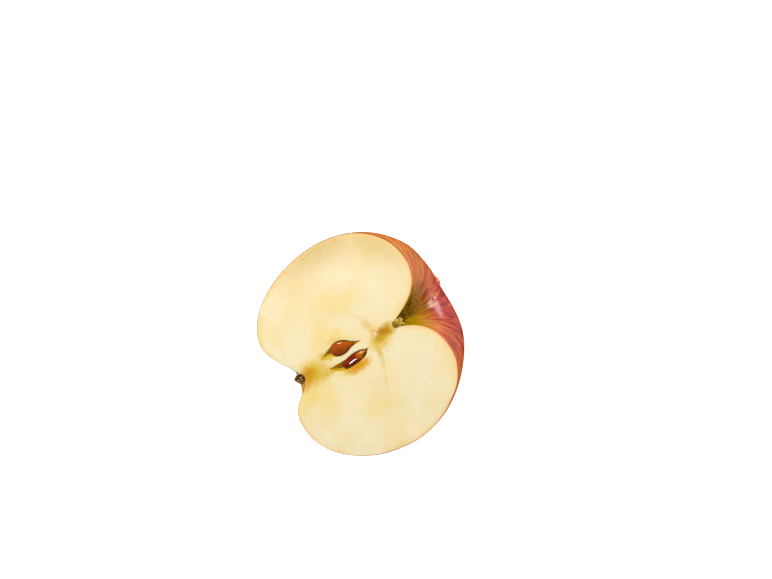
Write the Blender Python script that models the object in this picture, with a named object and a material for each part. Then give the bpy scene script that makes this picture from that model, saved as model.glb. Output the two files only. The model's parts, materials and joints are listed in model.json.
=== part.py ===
"""Half of a striped dessert apple, cut lengthwise through its core.

The half rests on the middle of its rounded back, with the cut face up and level.
+Z is up and square to the cut face. +Y is the apple's own axis, towards the stem.
+X runs across the width. The origin is under the middle of the cut face, on the
small flat spot that the half rests on. Sizes are in metres.

The body is the whole apple's surface of revolution, drawn from one outline for each
side lobe, of which only the half below the cut is made. Pockets for the two seeds,
the dried flower end and the torn stem are cut into it.
"""

from collections import namedtuple
import math

import bmesh
import bpy
import numpy as np

MM = 0.001

# The outline of one lobe, from the stem cavity's floor over the shoulder, the widest
# point and the base lobe to the basin's floor. Radii are from the apple's axis, heights
# are along +Y from the middle of the cut face, and a reach is a curve handle's length.
Lobe = namedtuple(
    "Lobe",
    "cavity_floor cavity_floor_reach cavity_lip_reach shoulder_radius shoulder_height shoulder_reach "
    "widest_radius widest_height above_widest_reach below_widest_reach base_radius base_height "
    "base_outer_reach base_inner_reach basin_floor basin_floor_reach",
)

RIGHT_LOBE = Lobe(
    cavity_floor=16.6 * MM,
    cavity_floor_reach=2.3 * MM,
    cavity_lip_reach=16.5 * MM,
    shoulder_radius=16.6 * MM,
    shoulder_height=31.0 * MM,
    shoulder_reach=8.2 * MM,
    widest_radius=37.4 * MM,
    widest_height=2.0 * MM,
    above_widest_reach=14.5 * MM,
    below_widest_reach=18.5 * MM,
    base_radius=14.4 * MM,
    base_height=-31.45 * MM,
    base_outer_reach=14.2 * MM,
    base_inner_reach=7.0 * MM,
    basin_floor=-23.2 * MM,
    basin_floor_reach=4.6 * MM,
)
LEFT_LOBE = Lobe(
    cavity_floor=16.6 * MM,
    cavity_floor_reach=2.1 * MM,
    cavity_lip_reach=12.0 * MM,
    shoulder_radius=17.6 * MM,
    shoulder_height=31.3 * MM,
    shoulder_reach=11.2 * MM,
    widest_radius=37.4 * MM,
    widest_height=5.0 * MM,
    above_widest_reach=15.8 * MM,
    below_widest_reach=17.4 * MM,
    base_radius=14.8 * MM,
    base_height=-31.65 * MM,
    base_outer_reach=12.2 * MM,
    base_inner_reach=5.6 * MM,
    basin_floor=-23.2 * MM,
    basin_floor_reach=4.0 * MM,
)

# The cavity and the basin lie a little to either side of the apple's middle.
CAVITY_DRIFT = -1.0 * MM
BASIN_DRIFT = 1.3 * MM

# Gentle swells and dents of the grown fruit: azimuth round the axis from the right lobe
# by way of the back (degrees), angle from the stem axis (degrees), spread (degrees), height.
Swell = namedtuple("Swell", "azimuth polar spread height")
SWELLS = (
    Swell(0, 103, 13, 0.25 * MM),
    Swell(0, 60, 13, 0.35 * MM),
    Swell(0, 44, 7, 0.45 * MM),
    Swell(58, 35, 13, 0.7 * MM),
    Swell(102, 34, 8, -0.55 * MM),
    Swell(145, 44, 10, 0.5 * MM),
    Swell(90, 158, 20, -1.5 * MM),
    Swell(48, 78, 22, -0.7 * MM),
    Swell(122, 84, 22, 0.6 * MM),
)

# Five low ribs round the base, which leave a dip in the middle of the back.
RIB_COUNT = 5
RIB_HEIGHT = 1.0 * MM

BACK_DEPTH = 37.3 * MM
FLAT_SPOT_DEPTH = 0.55 * MM
FACE_Z = BACK_DEPTH - FLAT_SPOT_DEPTH

# Faces round the half turn, and along each of the outline's four curves.
AZIMUTH_STEPS = 56
CAVITY_STEPS = 12
SHOULDER_STEPS = 16
FLANK_STEPS = 18
BASIN_STEPS = 10

# A seed chamber as the cut shows it: its two tips on the cut face, how far its middle
# line bows sideways, its half width, its depth under the cut face, and how sharply it
# narrows to its tips.
Chamber = namedtuple("Chamber", "base_tip stem_tip bow half_width depth sharpness")
LEFT_CHAMBER = Chamber((-1.6 * MM, -13.5 * MM), (-1.4 * MM, 4.0 * MM), -0.9 * MM, 1.8 * MM, 2.0 * MM, 1.4)
RIGHT_CHAMBER = Chamber((2.4 * MM, -12.4 * MM), (1.8 * MM, 4.8 * MM), 1.5 * MM, 1.6 * MM, 2.0 * MM, 0.85)
CHAMBER_SKEW = 0.8
CHAMBER_SHALLOWING = 1.7
CHAMBER_STEPS = 20
CHAMBER_SIDES = 24

# A seed: its blunt end and its point on the cut face, width, thickness, how far its
# middle lies under the cut face, its lean down towards its point, its roll about its
# own length (degrees), and how slender its pointed part is.
Seed = namedtuple("Seed", "blunt_end point width thickness sunk lean roll slenderness")
LEFT_SEED = Seed((-2.4 * MM, -8.9 * MM), (-1.8 * MM, 1.2 * MM), 4.9 * MM, 2.4 * MM, 0.5 * MM, 3.0, 8.0, 1.2)
RIGHT_SEED = Seed(
    (3.9 * MM, -7.5 * MM), (2.2 * MM, 3.4 * MM), 3.4 * MM, 2.5 * MM, 0.5 * MM, 2.5, -20.0, 0.72
)
SEED_BLUNTNESS = 0.56
SEED_STEPS = 16
SEED_SIDES = 20

# A seed's bed is the seed's own shape with room round it, and less slender by the ease.
SEED_CLEARANCE = 0.48 * MM
BED_EASE = 0.27

# The dried flower end: a cup that the cut has opened, with leaves that lean in on its rim.
CALYX_X = 1.0 * MM
CALYX_FLOOR_Y = -21.9 * MM
CALYX_RIM_Y = -24.3 * MM
CALYX_RADIUS = 1.85 * MM
CALYX_WALL = 0.45 * MM
CALYX_CLEARANCE = 0.5 * MM
CALYX_STEPS = 6
CALYX_SIDES = 20
Sepal = namedtuple("Sepal", "azimuth length lean")
SEPALS = (
    Sepal(13.0, 0.9 * MM, -0.85 * MM),
    Sepal(50.0, 1.3 * MM, -1.05 * MM),
    Sepal(91.0, 1.5 * MM, -0.95 * MM),
    Sepal(131.0, 1.7 * MM, -1.1 * MM),
    Sepal(167.0, 1.9 * MM, -0.9 * MM),
)
SEPAL_WIDTH = 1.6 * MM
SEPAL_THICKNESS = 0.4 * MM
STAMEN_AZIMUTHS = (35.0, 75.0, 115.0, 150.0)
STAMEN_RADIUS = 0.17 * MM
STAMEN_LENGTH = 2.0 * MM

# The torn foot of the stem, sliced by the cut and standing on the cavity's floor.
STEM_X = -0.9 * MM
STEM_FOOT_Y = 15.9 * MM
STEM_TOP_Y = 19.6 * MM
STEM_RADIUS = 1.15 * MM
STEM_FLARE = 0.2 * MM
STEM_TEAR = 0.75 * MM
STEM_CLEARANCE = 0.35 * MM
STEM_PIT_ROUNDING = 0.8 * MM
STEM_SIDES = 14

CUTTER_OVERSHOOT = 2.0 * MM


def clear_scene():
    for obj in list(bpy.data.objects):
        bpy.data.objects.remove(obj)


def principled(name, colour, roughness):
    material = bpy.data.materials.new(name)
    material.use_nodes = True
    shader = material.node_tree.nodes["Principled BSDF"]
    shader.inputs["Base Color"].default_value = (*colour, 1.0)
    shader.inputs["Roughness"].default_value = roughness
    shader.inputs["Metallic"].default_value = 0.0
    material.diffuse_color = (*colour, 1.0)
    return material


def add_object(name, mesh, material=None):
    """Links a mesh as a named object, shaded smooth but for its sharp edges."""
    mesh.shade_smooth()
    mesh.set_sharp_from_angle(angle=math.radians(40))
    obj = bpy.data.objects.new(name, mesh)
    bpy.context.scene.collection.objects.link(obj)
    if material:
        obj.data.materials.append(material)
    return obj


def as_cutter(obj):
    """Hides a helper, so that it is a tool and not a piece."""
    obj.hide_render = True
    obj.display_type = "WIRE"
    return obj


def mesh_from_grid(name, grid, close_round=False):
    """A mesh over a grid of points, its poles merged and its rim filled where it is open.

    With close_round, each row is a ring whose last point joins its first.
    """
    rows, columns, _ = grid.shape
    across = columns if close_round else columns - 1
    faces = [
        (
            row * columns + column,
            row * columns + (column + 1) % columns,
            (row + 1) * columns + (column + 1) % columns,
            (row + 1) * columns + column,
        )
        for row in range(rows - 1)
        for column in range(across)
    ]
    mesh = bpy.data.meshes.new(name)
    mesh.from_pydata(grid.reshape(-1, 3).tolist(), [], faces)
    shape = bmesh.new()
    shape.from_mesh(mesh)
    bmesh.ops.remove_doubles(shape, verts=shape.verts, dist=0.001 * MM)
    rim = [edge for edge in shape.edges if edge.is_boundary]
    if rim:
        bmesh.ops.holes_fill(shape, edges=rim, sides=0)
    bmesh.ops.recalc_face_normals(shape, faces=shape.faces)
    shape.to_mesh(mesh)
    shape.free()
    return mesh


def bezier(controls, count):
    """Points along a cubic curve, with the last left to the next curve."""
    t = (np.arange(count) / count)[:, None]
    weights = ((1 - t) ** 3, 3 * (1 - t) ** 2 * t, 3 * (1 - t) * t**2, t**3)
    return sum(weight * control for weight, control in zip(weights, controls))


def lobe_curves(lobe):
    """The four curves of a lobe's outline, as (radius, height, drift) controls."""
    floor = (0, lobe.cavity_floor, CAVITY_DRIFT)
    floor_handle = (lobe.cavity_floor_reach, lobe.cavity_floor, CAVITY_DRIFT)
    shoulder = (lobe.shoulder_radius, lobe.shoulder_height, 0)
    lip_handle = (lobe.shoulder_radius - lobe.cavity_lip_reach, lobe.shoulder_height, 0)
    shoulder_handle = (lobe.shoulder_radius + lobe.shoulder_reach, lobe.shoulder_height, 0)
    widest = (lobe.widest_radius, lobe.widest_height, 0)
    above_handle = (lobe.widest_radius, lobe.widest_height + lobe.above_widest_reach, 0)
    below_handle = (lobe.widest_radius, lobe.widest_height - lobe.below_widest_reach, 0)
    base = (lobe.base_radius, lobe.base_height, 0)
    outer_handle = (lobe.base_radius + lobe.base_outer_reach, lobe.base_height, 0)
    inner_handle = (lobe.base_radius - lobe.base_inner_reach, lobe.base_height, 0)
    basin = (0, lobe.basin_floor, BASIN_DRIFT)
    basin_handle = (lobe.basin_floor_reach, lobe.basin_floor, BASIN_DRIFT)
    return np.array(
        (
            (floor, floor_handle, lip_handle, shoulder),
            (shoulder, shoulder_handle, above_handle, widest),
            (widest, below_handle, outer_handle, base),
            (base, inner_handle, basin_handle, basin),
        )
    )


def outline_at(azimuth):
    """The apple's outline at an azimuth from the right lobe, as (radius, height, drift) rows.

    Between the lobes the outline is a mix of theirs, by the cosine of the azimuth.
    """
    share = 0.5 + 0.5 * math.cos(azimuth)
    curves = share * lobe_curves(RIGHT_LOBE) + (1 - share) * lobe_curves(LEFT_LOBE)
    steps = (CAVITY_STEPS, SHOULDER_STEPS, FLANK_STEPS, BASIN_STEPS)
    points = [bezier(controls, count) for controls, count in zip(curves, steps)]
    return np.vstack([*points, curves[-1, -1:]])


def rib_lift(azimuth, polar):
    """Height of the ribs, nothing at the cut and at the stem, most near the base."""
    strength = (polar / math.pi) ** 2 * np.sin(polar)
    return -RIB_HEIGHT * strength * math.sin(RIB_COUNT * azimuth)


def swell_lift(azimuth, polar):
    """Sum of the swells, each a bell curve of the angle from its middle."""
    lift = np.zeros_like(polar)
    for swell in SWELLS:
        there = math.radians(swell.polar)
        turn = azimuth - math.radians(swell.azimuth)
        cosine = np.cos(polar) * math.cos(there) + np.sin(polar) * math.sin(there) * math.cos(turn)
        away = np.arccos(np.clip(cosine, -1, 1)) / math.radians(swell.spread)
        lift += swell.height * np.exp(-(away**2))
    return lift


def body_grid():
    """Points of the half's rounded side, one row for each azimuth from right lobe to left."""
    rows = []
    for azimuth in np.linspace(0, math.pi, AZIMUTH_STEPS + 1):
        radius, height, drift = outline_at(azimuth).T
        polar = np.arctan2(radius, height)
        lift = swell_lift(azimuth, polar) + rib_lift(azimuth, polar)
        on_axis = radius < MM * 0.001
        out = np.where(on_axis, 0, radius + lift * np.sin(polar))
        along = np.where(on_axis, height, height + lift * np.cos(polar))
        x = drift + out * math.cos(azimuth)
        z = np.maximum(FACE_Z - out * math.sin(azimuth), 0)
        rows.append(np.stack([x, along, z], axis=1))
    return np.array(rows)


def chamber_cutter(name, chamber):
    """An almond round the cut plane, its width a skewed sine between its tips, its tips shallow."""
    base, stem = np.array(chamber.base_tip), np.array(chamber.stem_tip)
    t = np.linspace(0, 1, CHAMBER_STEPS + 1)
    fullness = np.clip(np.sin(math.pi * t**CHAMBER_SKEW), 0, 1) ** chamber.sharpness
    middle = base + t[:, None] * (stem - base)
    middle[:, 0] += chamber.bow * fullness
    turn = np.arange(CHAMBER_SIDES) * math.tau / CHAMBER_SIDES
    across = chamber.half_width * fullness[:, None] * np.cos(turn)
    deep = chamber.depth * fullness[:, None] ** CHAMBER_SHALLOWING * np.sin(turn)
    x = middle[:, :1] + across
    y = np.broadcast_to(middle[:, 1:], x.shape)
    grid = np.stack([x, y, FACE_Z + deep], axis=2)
    return as_cutter(add_object(name, mesh_from_grid(name, grid, close_round=True)))


def seed_object(name, seed, material=None, swell=0.0):
    """A flattened teardrop, its half width a power law at each end, laid along its length.

    With swell, every side stands that much further out and the pointed part is fuller.
    """
    blunt, point = np.array(seed.blunt_end), np.array(seed.point)
    span = point - blunt
    length = float(np.hypot(*span)) + 2 * swell
    s = (1 - np.cos(np.linspace(0, math.pi, SEED_STEPS + 1))) / 2
    slenderness = seed.slenderness - (BED_EASE if swell else 0)
    peak = SEED_BLUNTNESS / (SEED_BLUNTNESS + slenderness)
    most = peak**SEED_BLUNTNESS * (1 - peak) ** slenderness
    fullness = s**SEED_BLUNTNESS * (1 - s) ** slenderness / most
    turn = np.arange(SEED_SIDES) * math.tau / SEED_SIDES
    across = (seed.width / 2 + swell) * fullness[:, None] * np.cos(turn)
    up = (seed.thickness / 2 + swell) * fullness[:, None] * np.sin(turn)
    along = np.broadcast_to(((s - 0.5) * length)[:, None], across.shape)
    grid = np.stack([across, along, up], axis=2)
    obj = add_object(name, mesh_from_grid(name, grid, close_round=True), material)
    middle = (blunt + point) / 2
    obj.location = (middle[0], middle[1], FACE_Z - seed.sunk)
    heading = math.atan2(-span[0], span[1])
    obj.rotation_euler = (math.radians(-seed.lean), math.radians(seed.roll), heading)
    return obj


def seed_bed_cutter(name, seed):
    """The hollow that the seed lies in, the seed's own shape with room round it."""
    return as_cutter(seed_object(name, seed, swell=SEED_CLEARANCE))


def turned_half(name, profile, centre_x, sides, jitter=None):
    """Half a turned piece under the cut plane, from (radius, height) rows about a line along Y."""
    rows = []
    for index, azimuth in enumerate(np.linspace(0, math.pi, sides + 1)):
        radius, height = profile.T
        lift = jitter(index, azimuth, radius, height) if jitter else 0
        x = centre_x + radius * math.cos(azimuth)
        z = FACE_Z - radius * math.sin(azimuth)
        rows.append(np.stack([x, height + lift, z], axis=1))
    return mesh_from_grid(name, np.array(rows))


def pit_cutter(name, centre_x, mouth_y, floor_y, radius, bowl_depth):
    """A round-bottomed pit about a line along Y on the cut plane, open past its mouth."""
    outward = math.copysign(1, mouth_y - floor_y)
    angles = np.linspace(0, math.pi / 2, 8)
    bowl = [(radius * math.sin(a), floor_y + outward * bowl_depth * (1 - math.cos(a))) for a in angles]
    open_end = mouth_y + outward * CUTTER_OVERSHOOT
    profile = np.array([*bowl, (radius, open_end), (0, open_end)])
    turn = np.arange(CALYX_SIDES) * math.tau / CALYX_SIDES
    x = centre_x + profile[:, :1] * np.cos(turn)
    y = np.broadcast_to(profile[:, 1:], x.shape)
    z = FACE_Z + profile[:, :1] * np.sin(turn)
    grid = np.stack([x, y, z], axis=2)
    return as_cutter(add_object(name, mesh_from_grid(name, grid, close_round=True)))


def calyx_pit_cutter():
    floor_y = CALYX_FLOOR_Y + CALYX_CLEARANCE
    radius = CALYX_RADIUS + CALYX_CLEARANCE
    return pit_cutter("calyx_pit", CALYX_X, CALYX_RIM_Y, floor_y, radius, floor_y - CALYX_RIM_Y)


def stem_pit_cutter():
    floor_y = STEM_FOOT_Y - STEM_CLEARANCE
    radius = STEM_RADIUS + STEM_FLARE + STEM_CLEARANCE
    return pit_cutter("stem_pit", STEM_X, STEM_TOP_Y, floor_y, radius, STEM_PIT_ROUNDING)


def calyx_cup():
    """The cup: an outer bowl and an inner one, half turned, closed along its rim."""
    angles = np.linspace(0, math.pi / 2, CALYX_STEPS)
    depth = CALYX_FLOOR_Y - CALYX_RIM_Y
    outer = [(CALYX_RADIUS * math.sin(a), CALYX_RIM_Y + depth * math.cos(a)) for a in angles]
    inner_radius, inner_depth = CALYX_RADIUS - CALYX_WALL, depth - CALYX_WALL
    inner = [(inner_radius * math.sin(a), CALYX_RIM_Y + inner_depth * math.cos(a)) for a in angles]
    return turned_half("calyx_cup", np.array(outer + inner[::-1]), CALYX_X, CALYX_SIDES)


def sepal_mesh(name, sepal):
    """A leaf on the cup's rim: a tongue that narrows as a quarter cosine and leans inwards."""
    azimuth = math.radians(sepal.azimuth)
    t = np.linspace(0, 1, 7)
    half = SEPAL_WIDTH / 2 * np.cos(t * math.pi / 2 * 0.92) ** 0.7
    radius = CALYX_RADIUS - CALYX_WALL / 2 + sepal.lean * t**1.5
    y = CALYX_RIM_Y + 0.4 * MM - (sepal.length + 0.4 * MM) * t
    corners = ((-1, 1), (1, 1), (1, -1), (-1, -1))
    ring = []
    for side, face in corners:
        away = radius + face * SEPAL_THICKNESS / 2 * (1 - 0.5 * t)
        x = CALYX_X + away * math.cos(azimuth) - side * half * math.sin(azimuth)
        z = FACE_Z - away * math.sin(azimuth) - side * half * math.cos(azimuth)
        ring.append(np.stack([x, y, z], axis=1))
    grid = np.stack(ring, axis=1)
    return mesh_from_grid(name, grid, close_round=True)


def stamen(name, azimuth):
    """A short dry thread that stands in the cup and leans to its middle."""
    azimuth = math.radians(azimuth)
    t = np.linspace(0, 1, 4)[:, None]
    away = 0.95 * MM - 0.45 * MM * t
    turn = np.arange(6) * math.tau / 6
    radius = STAMEN_RADIUS * (1 - 0.4 * t)
    x = CALYX_X + away * math.cos(azimuth) + radius * np.cos(turn)
    y = np.broadcast_to(CALYX_FLOOR_Y - 0.25 * MM - t * STAMEN_LENGTH, x.shape)
    z = FACE_Z - away * math.sin(azimuth) + radius * np.sin(turn)
    return mesh_from_grid(name, np.stack([x, y, z], axis=2), close_round=True)


def apply_modifiers(obj):
    """Swaps the object's mesh for the one that its modifiers make."""
    graph = bpy.context.evaluated_depsgraph_get()
    mesh = bpy.data.meshes.new_from_object(obj.evaluated_get(graph))
    obj.modifiers.clear()
    obj.data = mesh


def cut_face_cutter(name, thickness):
    """A block over the cut plane, which takes off what stands above it."""
    half = 50 * MM
    corners = ((-half, -half), (half, -half), (half, half), (-half, half))
    low = [(x, y, FACE_Z) for x, y in corners]
    high = [(x, y, FACE_Z + thickness) for x, y in corners]
    grid = np.array([low, high])
    return as_cutter(add_object(name, mesh_from_grid(name, grid, close_round=True)))


def calyx_object(material):
    """The flower end's cup, leaves and threads, joined in one union and sliced by the cut."""
    parts = bpy.data.collections.new("calyx_parts")
    bpy.context.scene.collection.children.link(parts)
    meshes = [sepal_mesh(f"sepal_{number}", sepal) for number, sepal in enumerate(SEPALS)]
    meshes += [stamen(f"stamen_{number}", azimuth) for number, azimuth in enumerate(STAMEN_AZIMUTHS)]
    for mesh in meshes:
        parts.objects.link(bpy.data.objects.new(mesh.name, mesh))
    obj = add_object("calyx", calyx_cup(), material)
    union = obj.modifiers.new("join_parts", "BOOLEAN")
    union.operation = "UNION"
    union.operand_type = "COLLECTION"
    union.collection = parts
    union.solver = "EXACT"
    cutter = cut_face_cutter("calyx_knife", 5 * MM)
    knife = obj.modifiers.new("knife", "BOOLEAN")
    knife.operation = "DIFFERENCE"
    knife.object = cutter
    knife.solver = "EXACT"
    apply_modifiers(obj)
    for part in list(parts.objects):
        bpy.data.objects.remove(part)
    bpy.data.objects.remove(cutter)
    bpy.data.collections.remove(parts)
    return obj


def stem_foot_object(material):
    """The torn stem: a half turned peg whose top is uneven, higher at the back."""

    def tear(index, azimuth, radius, height):
        top = height > STEM_TOP_Y - STEM_TEAR
        ragged = 0.5 * math.sin(3.1 * azimuth + 0.6) + 0.35 * math.sin(7.3 * azimuth)
        return np.where(top, STEM_TEAR * ragged * radius / STEM_RADIUS, 0)

    flared = STEM_RADIUS + STEM_FLARE
    profile = np.array(
        (
            (0, STEM_FOOT_Y),
            (0.8 * STEM_RADIUS, STEM_FOOT_Y + 0.15 * MM),
            (STEM_RADIUS, STEM_FOOT_Y + 0.6 * MM),
            (0.94 * STEM_RADIUS, STEM_FOOT_Y + 1.6 * MM),
            (flared, STEM_TOP_Y - 0.4 * MM),
            (0.8 * flared, STEM_TOP_Y),
            (0.35 * flared, STEM_TOP_Y - 0.25 * MM),
            (0, STEM_TOP_Y - 0.1 * MM),
        )
    )
    mesh = turned_half("stem_foot", profile, STEM_X, STEM_SIDES, jitter=tear)
    return add_object("stem_foot", mesh, material)


def subtract(obj, cutters):
    for cutter in cutters:
        modifier = obj.modifiers.new(cutter.name, "BOOLEAN")
        modifier.operation = "DIFFERENCE"
        modifier.object = cutter
        modifier.solver = "EXACT"


def main():
    clear_scene()
    flesh = principled("apple_flesh", (0.86, 0.74, 0.42), 0.42)
    seed_coat = principled("seed_coat", (0.20, 0.055, 0.022), 0.28)
    dried = principled("dried_flower_end", (0.16, 0.12, 0.045), 0.8)
    stem_wood = principled("torn_stem", (0.36, 0.27, 0.10), 0.7)

    body = add_object("apple_half", mesh_from_grid("apple_half", body_grid()), flesh)
    pits = [
        chamber_cutter("left_chamber", LEFT_CHAMBER),
        chamber_cutter("right_chamber", RIGHT_CHAMBER),
        seed_bed_cutter("left_seed_bed", LEFT_SEED),
        seed_bed_cutter("right_seed_bed", RIGHT_SEED),
        calyx_pit_cutter(),
        stem_pit_cutter(),
    ]
    subtract(body, pits)
    seed_object("seed_left", LEFT_SEED, seed_coat)
    seed_object("seed_right", RIGHT_SEED, seed_coat)
    calyx_object(dried)
    stem_foot_object(stem_wood)


main()
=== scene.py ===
"""The looks of half a striped dessert apple, cut lengthwise through its core.

The half lies on its rounded back with the cut face up. The frame's solids give each
piece its place: the body, its two seeds, the dried flower end and the foot of the stem.
Here each gets its fine surface and finish, and the wet fruit its drops and juice.
+Y runs along the apple's own axis to the stem, +X across the width, +Z up off the cut.
"""

import json
import math
from collections import namedtuple

import bmesh
import bpy
import numpy as np
from mathutils import Matrix, Vector

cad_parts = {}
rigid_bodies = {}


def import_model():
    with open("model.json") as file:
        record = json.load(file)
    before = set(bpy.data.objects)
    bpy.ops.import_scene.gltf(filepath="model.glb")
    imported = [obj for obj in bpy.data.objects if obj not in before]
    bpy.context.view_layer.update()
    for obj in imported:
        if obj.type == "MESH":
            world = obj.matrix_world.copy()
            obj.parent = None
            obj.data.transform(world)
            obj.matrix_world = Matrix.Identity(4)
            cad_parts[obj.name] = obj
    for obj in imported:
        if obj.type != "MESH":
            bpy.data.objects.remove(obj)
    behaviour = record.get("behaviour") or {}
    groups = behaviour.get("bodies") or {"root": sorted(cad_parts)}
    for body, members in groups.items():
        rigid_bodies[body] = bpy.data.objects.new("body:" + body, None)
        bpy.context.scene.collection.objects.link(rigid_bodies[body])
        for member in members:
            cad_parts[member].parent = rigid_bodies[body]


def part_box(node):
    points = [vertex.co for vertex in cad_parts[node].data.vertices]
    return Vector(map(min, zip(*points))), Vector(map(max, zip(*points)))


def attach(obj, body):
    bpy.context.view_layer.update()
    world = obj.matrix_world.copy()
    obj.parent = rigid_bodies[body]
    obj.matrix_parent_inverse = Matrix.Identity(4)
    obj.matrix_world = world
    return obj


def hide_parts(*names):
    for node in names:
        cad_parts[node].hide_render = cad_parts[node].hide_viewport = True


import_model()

bl_info = {
    "name": "Apple Half",
    "version": (1, 0, 0),
    "blender": (4, 5, 0),
    "location": "View3D > Sidebar > Apple",
    "description": "Builds the fine surfaces, finishes and stage of a cut apple half",
    "category": "Add Mesh",
}

MM = 0.001
CUT_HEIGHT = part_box("apple_half")[1][2]

# The picture's width in pixels, and the width of the camera's sensor in millimetres.
IMAGE_WIDTH = 772
SENSOR_WIDTH = 36.0

# The outline of one lobe, from the stem cavity's floor over the shoulder, the widest
# point and the base lobe to the basin's floor, as the frame's solid has it. Radii are
# from the apple's axis, heights along +Y, and a reach is a curve handle's length.
Lobe = namedtuple(
    "Lobe",
    "cavity_floor cavity_floor_reach cavity_lip_reach shoulder_radius shoulder_height shoulder_reach "
    "widest_radius widest_height above_widest_reach below_widest_reach base_radius base_height "
    "base_outer_reach base_inner_reach basin_floor basin_floor_reach",
)

RIGHT_LOBE = Lobe(
    cavity_floor=16.6 * MM,
    cavity_floor_reach=2.3 * MM,
    cavity_lip_reach=16.5 * MM,
    shoulder_radius=16.6 * MM,
    shoulder_height=31.0 * MM,
    shoulder_reach=8.2 * MM,
    widest_radius=37.4 * MM,
    widest_height=2.0 * MM,
    above_widest_reach=14.5 * MM,
    below_widest_reach=18.5 * MM,
    base_radius=14.4 * MM,
    base_height=-31.45 * MM,
    base_outer_reach=14.2 * MM,
    base_inner_reach=7.0 * MM,
    basin_floor=-23.2 * MM,
    basin_floor_reach=4.6 * MM,
)
LEFT_LOBE = Lobe(
    cavity_floor=16.6 * MM,
    cavity_floor_reach=2.1 * MM,
    cavity_lip_reach=12.0 * MM,
    shoulder_radius=17.6 * MM,
    shoulder_height=31.3 * MM,
    shoulder_reach=11.2 * MM,
    widest_radius=37.4 * MM,
    widest_height=5.0 * MM,
    above_widest_reach=15.8 * MM,
    below_widest_reach=17.4 * MM,
    base_radius=14.8 * MM,
    base_height=-31.65 * MM,
    base_outer_reach=12.2 * MM,
    base_inner_reach=5.6 * MM,
    basin_floor=-23.2 * MM,
    basin_floor_reach=4.0 * MM,
)
CAVITY_DRIFT = -1.0 * MM
BASIN_DRIFT = 1.3 * MM

# Swells and dents of the grown fruit: azimuth round the axis from the right lobe by way
# of the back, angle from the stem axis and spread (degrees), and height.
Swell = namedtuple("Swell", "azimuth polar spread height")
SWELLS = (
    Swell(0, 103, 13, 0.25 * MM),
    Swell(0, 60, 13, 0.35 * MM),
    Swell(0, 44, 7, 0.45 * MM),
    Swell(58, 35, 13, 0.7 * MM),
    Swell(102, 34, 8, -0.55 * MM),
    Swell(145, 44, 10, 0.5 * MM),
    Swell(90, 158, 20, -1.5 * MM),
    Swell(48, 78, 22, -0.7 * MM),
    Swell(122, 84, 22, 0.6 * MM),
)
RIB_COUNT = 5
RIB_HEIGHT = 1.0 * MM

# Faces round the half turn, along each of the outline's four curves, and in from the rim.
AZIMUTH_STEPS = 150
OUTLINE_STEPS = (36, 44, 50, 30)
FACE_RINGS = 46

# How much closer the azimuths stand by the cut, and the cut face's rings by its rim.
AZIMUTH_CROWDING = 0.12
RING_CROWDING = 2.2
FIRST_RING = 0.0035
FACE_MIDDLE_Y = -2.0 * MM

# The depth under the skin, in metres, that one unit of the cut face's map stands for.
CUT_MAP_DEPTH = 10 * MM

# A seed chamber: its two tips on the cut face, its middle line's sideways bow, its half
# width, its depth, and how sharply it narrows to its tips.
Chamber = namedtuple("Chamber", "base_tip stem_tip bow half_width depth sharpness")
CHAMBERS = {
    "left": Chamber((-1.6 * MM, -13.5 * MM), (-1.4 * MM, 4.0 * MM), -0.9 * MM, 1.8 * MM, 2.0 * MM, 1.4),
    "right": Chamber((2.4 * MM, -12.4 * MM), (1.8 * MM, 4.8 * MM), 1.5 * MM, 1.6 * MM, 2.0 * MM, 0.85),
}
CHAMBER_SKEW = 0.8
CHAMBER_SHALLOWING = 1.7

# A seed: its blunt end and its point on the cut face, width, thickness, how far its
# middle lies under the cut, its lean down towards its point, its roll about its own
# length (degrees), and how slender its pointed part is.
Seed = namedtuple("Seed", "blunt_end point width thickness sunk lean roll slenderness")
SEEDS = {
    "left": Seed(
        (-2.4 * MM, -8.9 * MM), (-1.8 * MM, 1.2 * MM), 4.9 * MM, 2.4 * MM, 0.5 * MM, 3.0, 8.0, 1.2
    ),
    "right": Seed(
        (3.9 * MM, -7.5 * MM), (2.2 * MM, 3.4 * MM), 3.4 * MM, 2.5 * MM, 0.5 * MM, 2.5, -20.0, 0.72
    ),
}
SEED_BLUNTNESS = 0.56

# A seed's bed is the seed's own shape with room round it, and less slender by the ease.
SEED_CLEARANCE = 0.3 * MM
BED_EASE = 0.27

# The dried flower end, a cup with leaves on its rim and threads inside.
CALYX_X = 1.0 * MM
CALYX_FLOOR_Y = -21.9 * MM
CALYX_RIM_Y = -24.3 * MM
CALYX_RADIUS = 1.95 * MM
CALYX_WALL = 0.45 * MM

# A leaf: its azimuth round the cup (degrees), length, width, how far its tip leans out, or
# in where negative, and how much it curls.
Sepal = namedtuple("Sepal", "azimuth length width lean curl")
SEPALS = (
    Sepal(10.0, 0.9 * MM, 1.5 * MM, -0.9 * MM, 0.1 * MM),
    Sepal(38.0, 1.3 * MM, 1.7 * MM, -1.1 * MM, 0.2 * MM),
    Sepal(68.0, 1.3 * MM, 1.8 * MM, -1.0 * MM, 0.15 * MM),
    Sepal(98.0, 1.7 * MM, 1.8 * MM, -1.2 * MM, 0.2 * MM),
    Sepal(126.0, 1.6 * MM, 1.8 * MM, -1.0 * MM, 0.15 * MM),
    Sepal(150.0, 2.0 * MM, 1.7 * MM, -1.2 * MM, 0.1 * MM),
    Sepal(170.0, 1.7 * MM, 1.5 * MM, -0.9 * MM, 0.1 * MM),
)
STAMEN_COUNT = 13

# The torn foot of the stem.
STEM_X = -0.9 * MM
STEM_FOOT_Y = 15.9 * MM
STEM_TOP_Y = 19.6 * MM
STEM_RADIUS = 1.2 * MM
PIT_CLEARANCE = 0.07 * MM

# Where the two pits end in the open, and how deep the stem's pit is rounded.
CALYX_PIT_END_Y = -30 * MM
STEM_PIT_END_Y = 25 * MM
STEM_PIT_BOWL = 0.8 * MM

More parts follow.
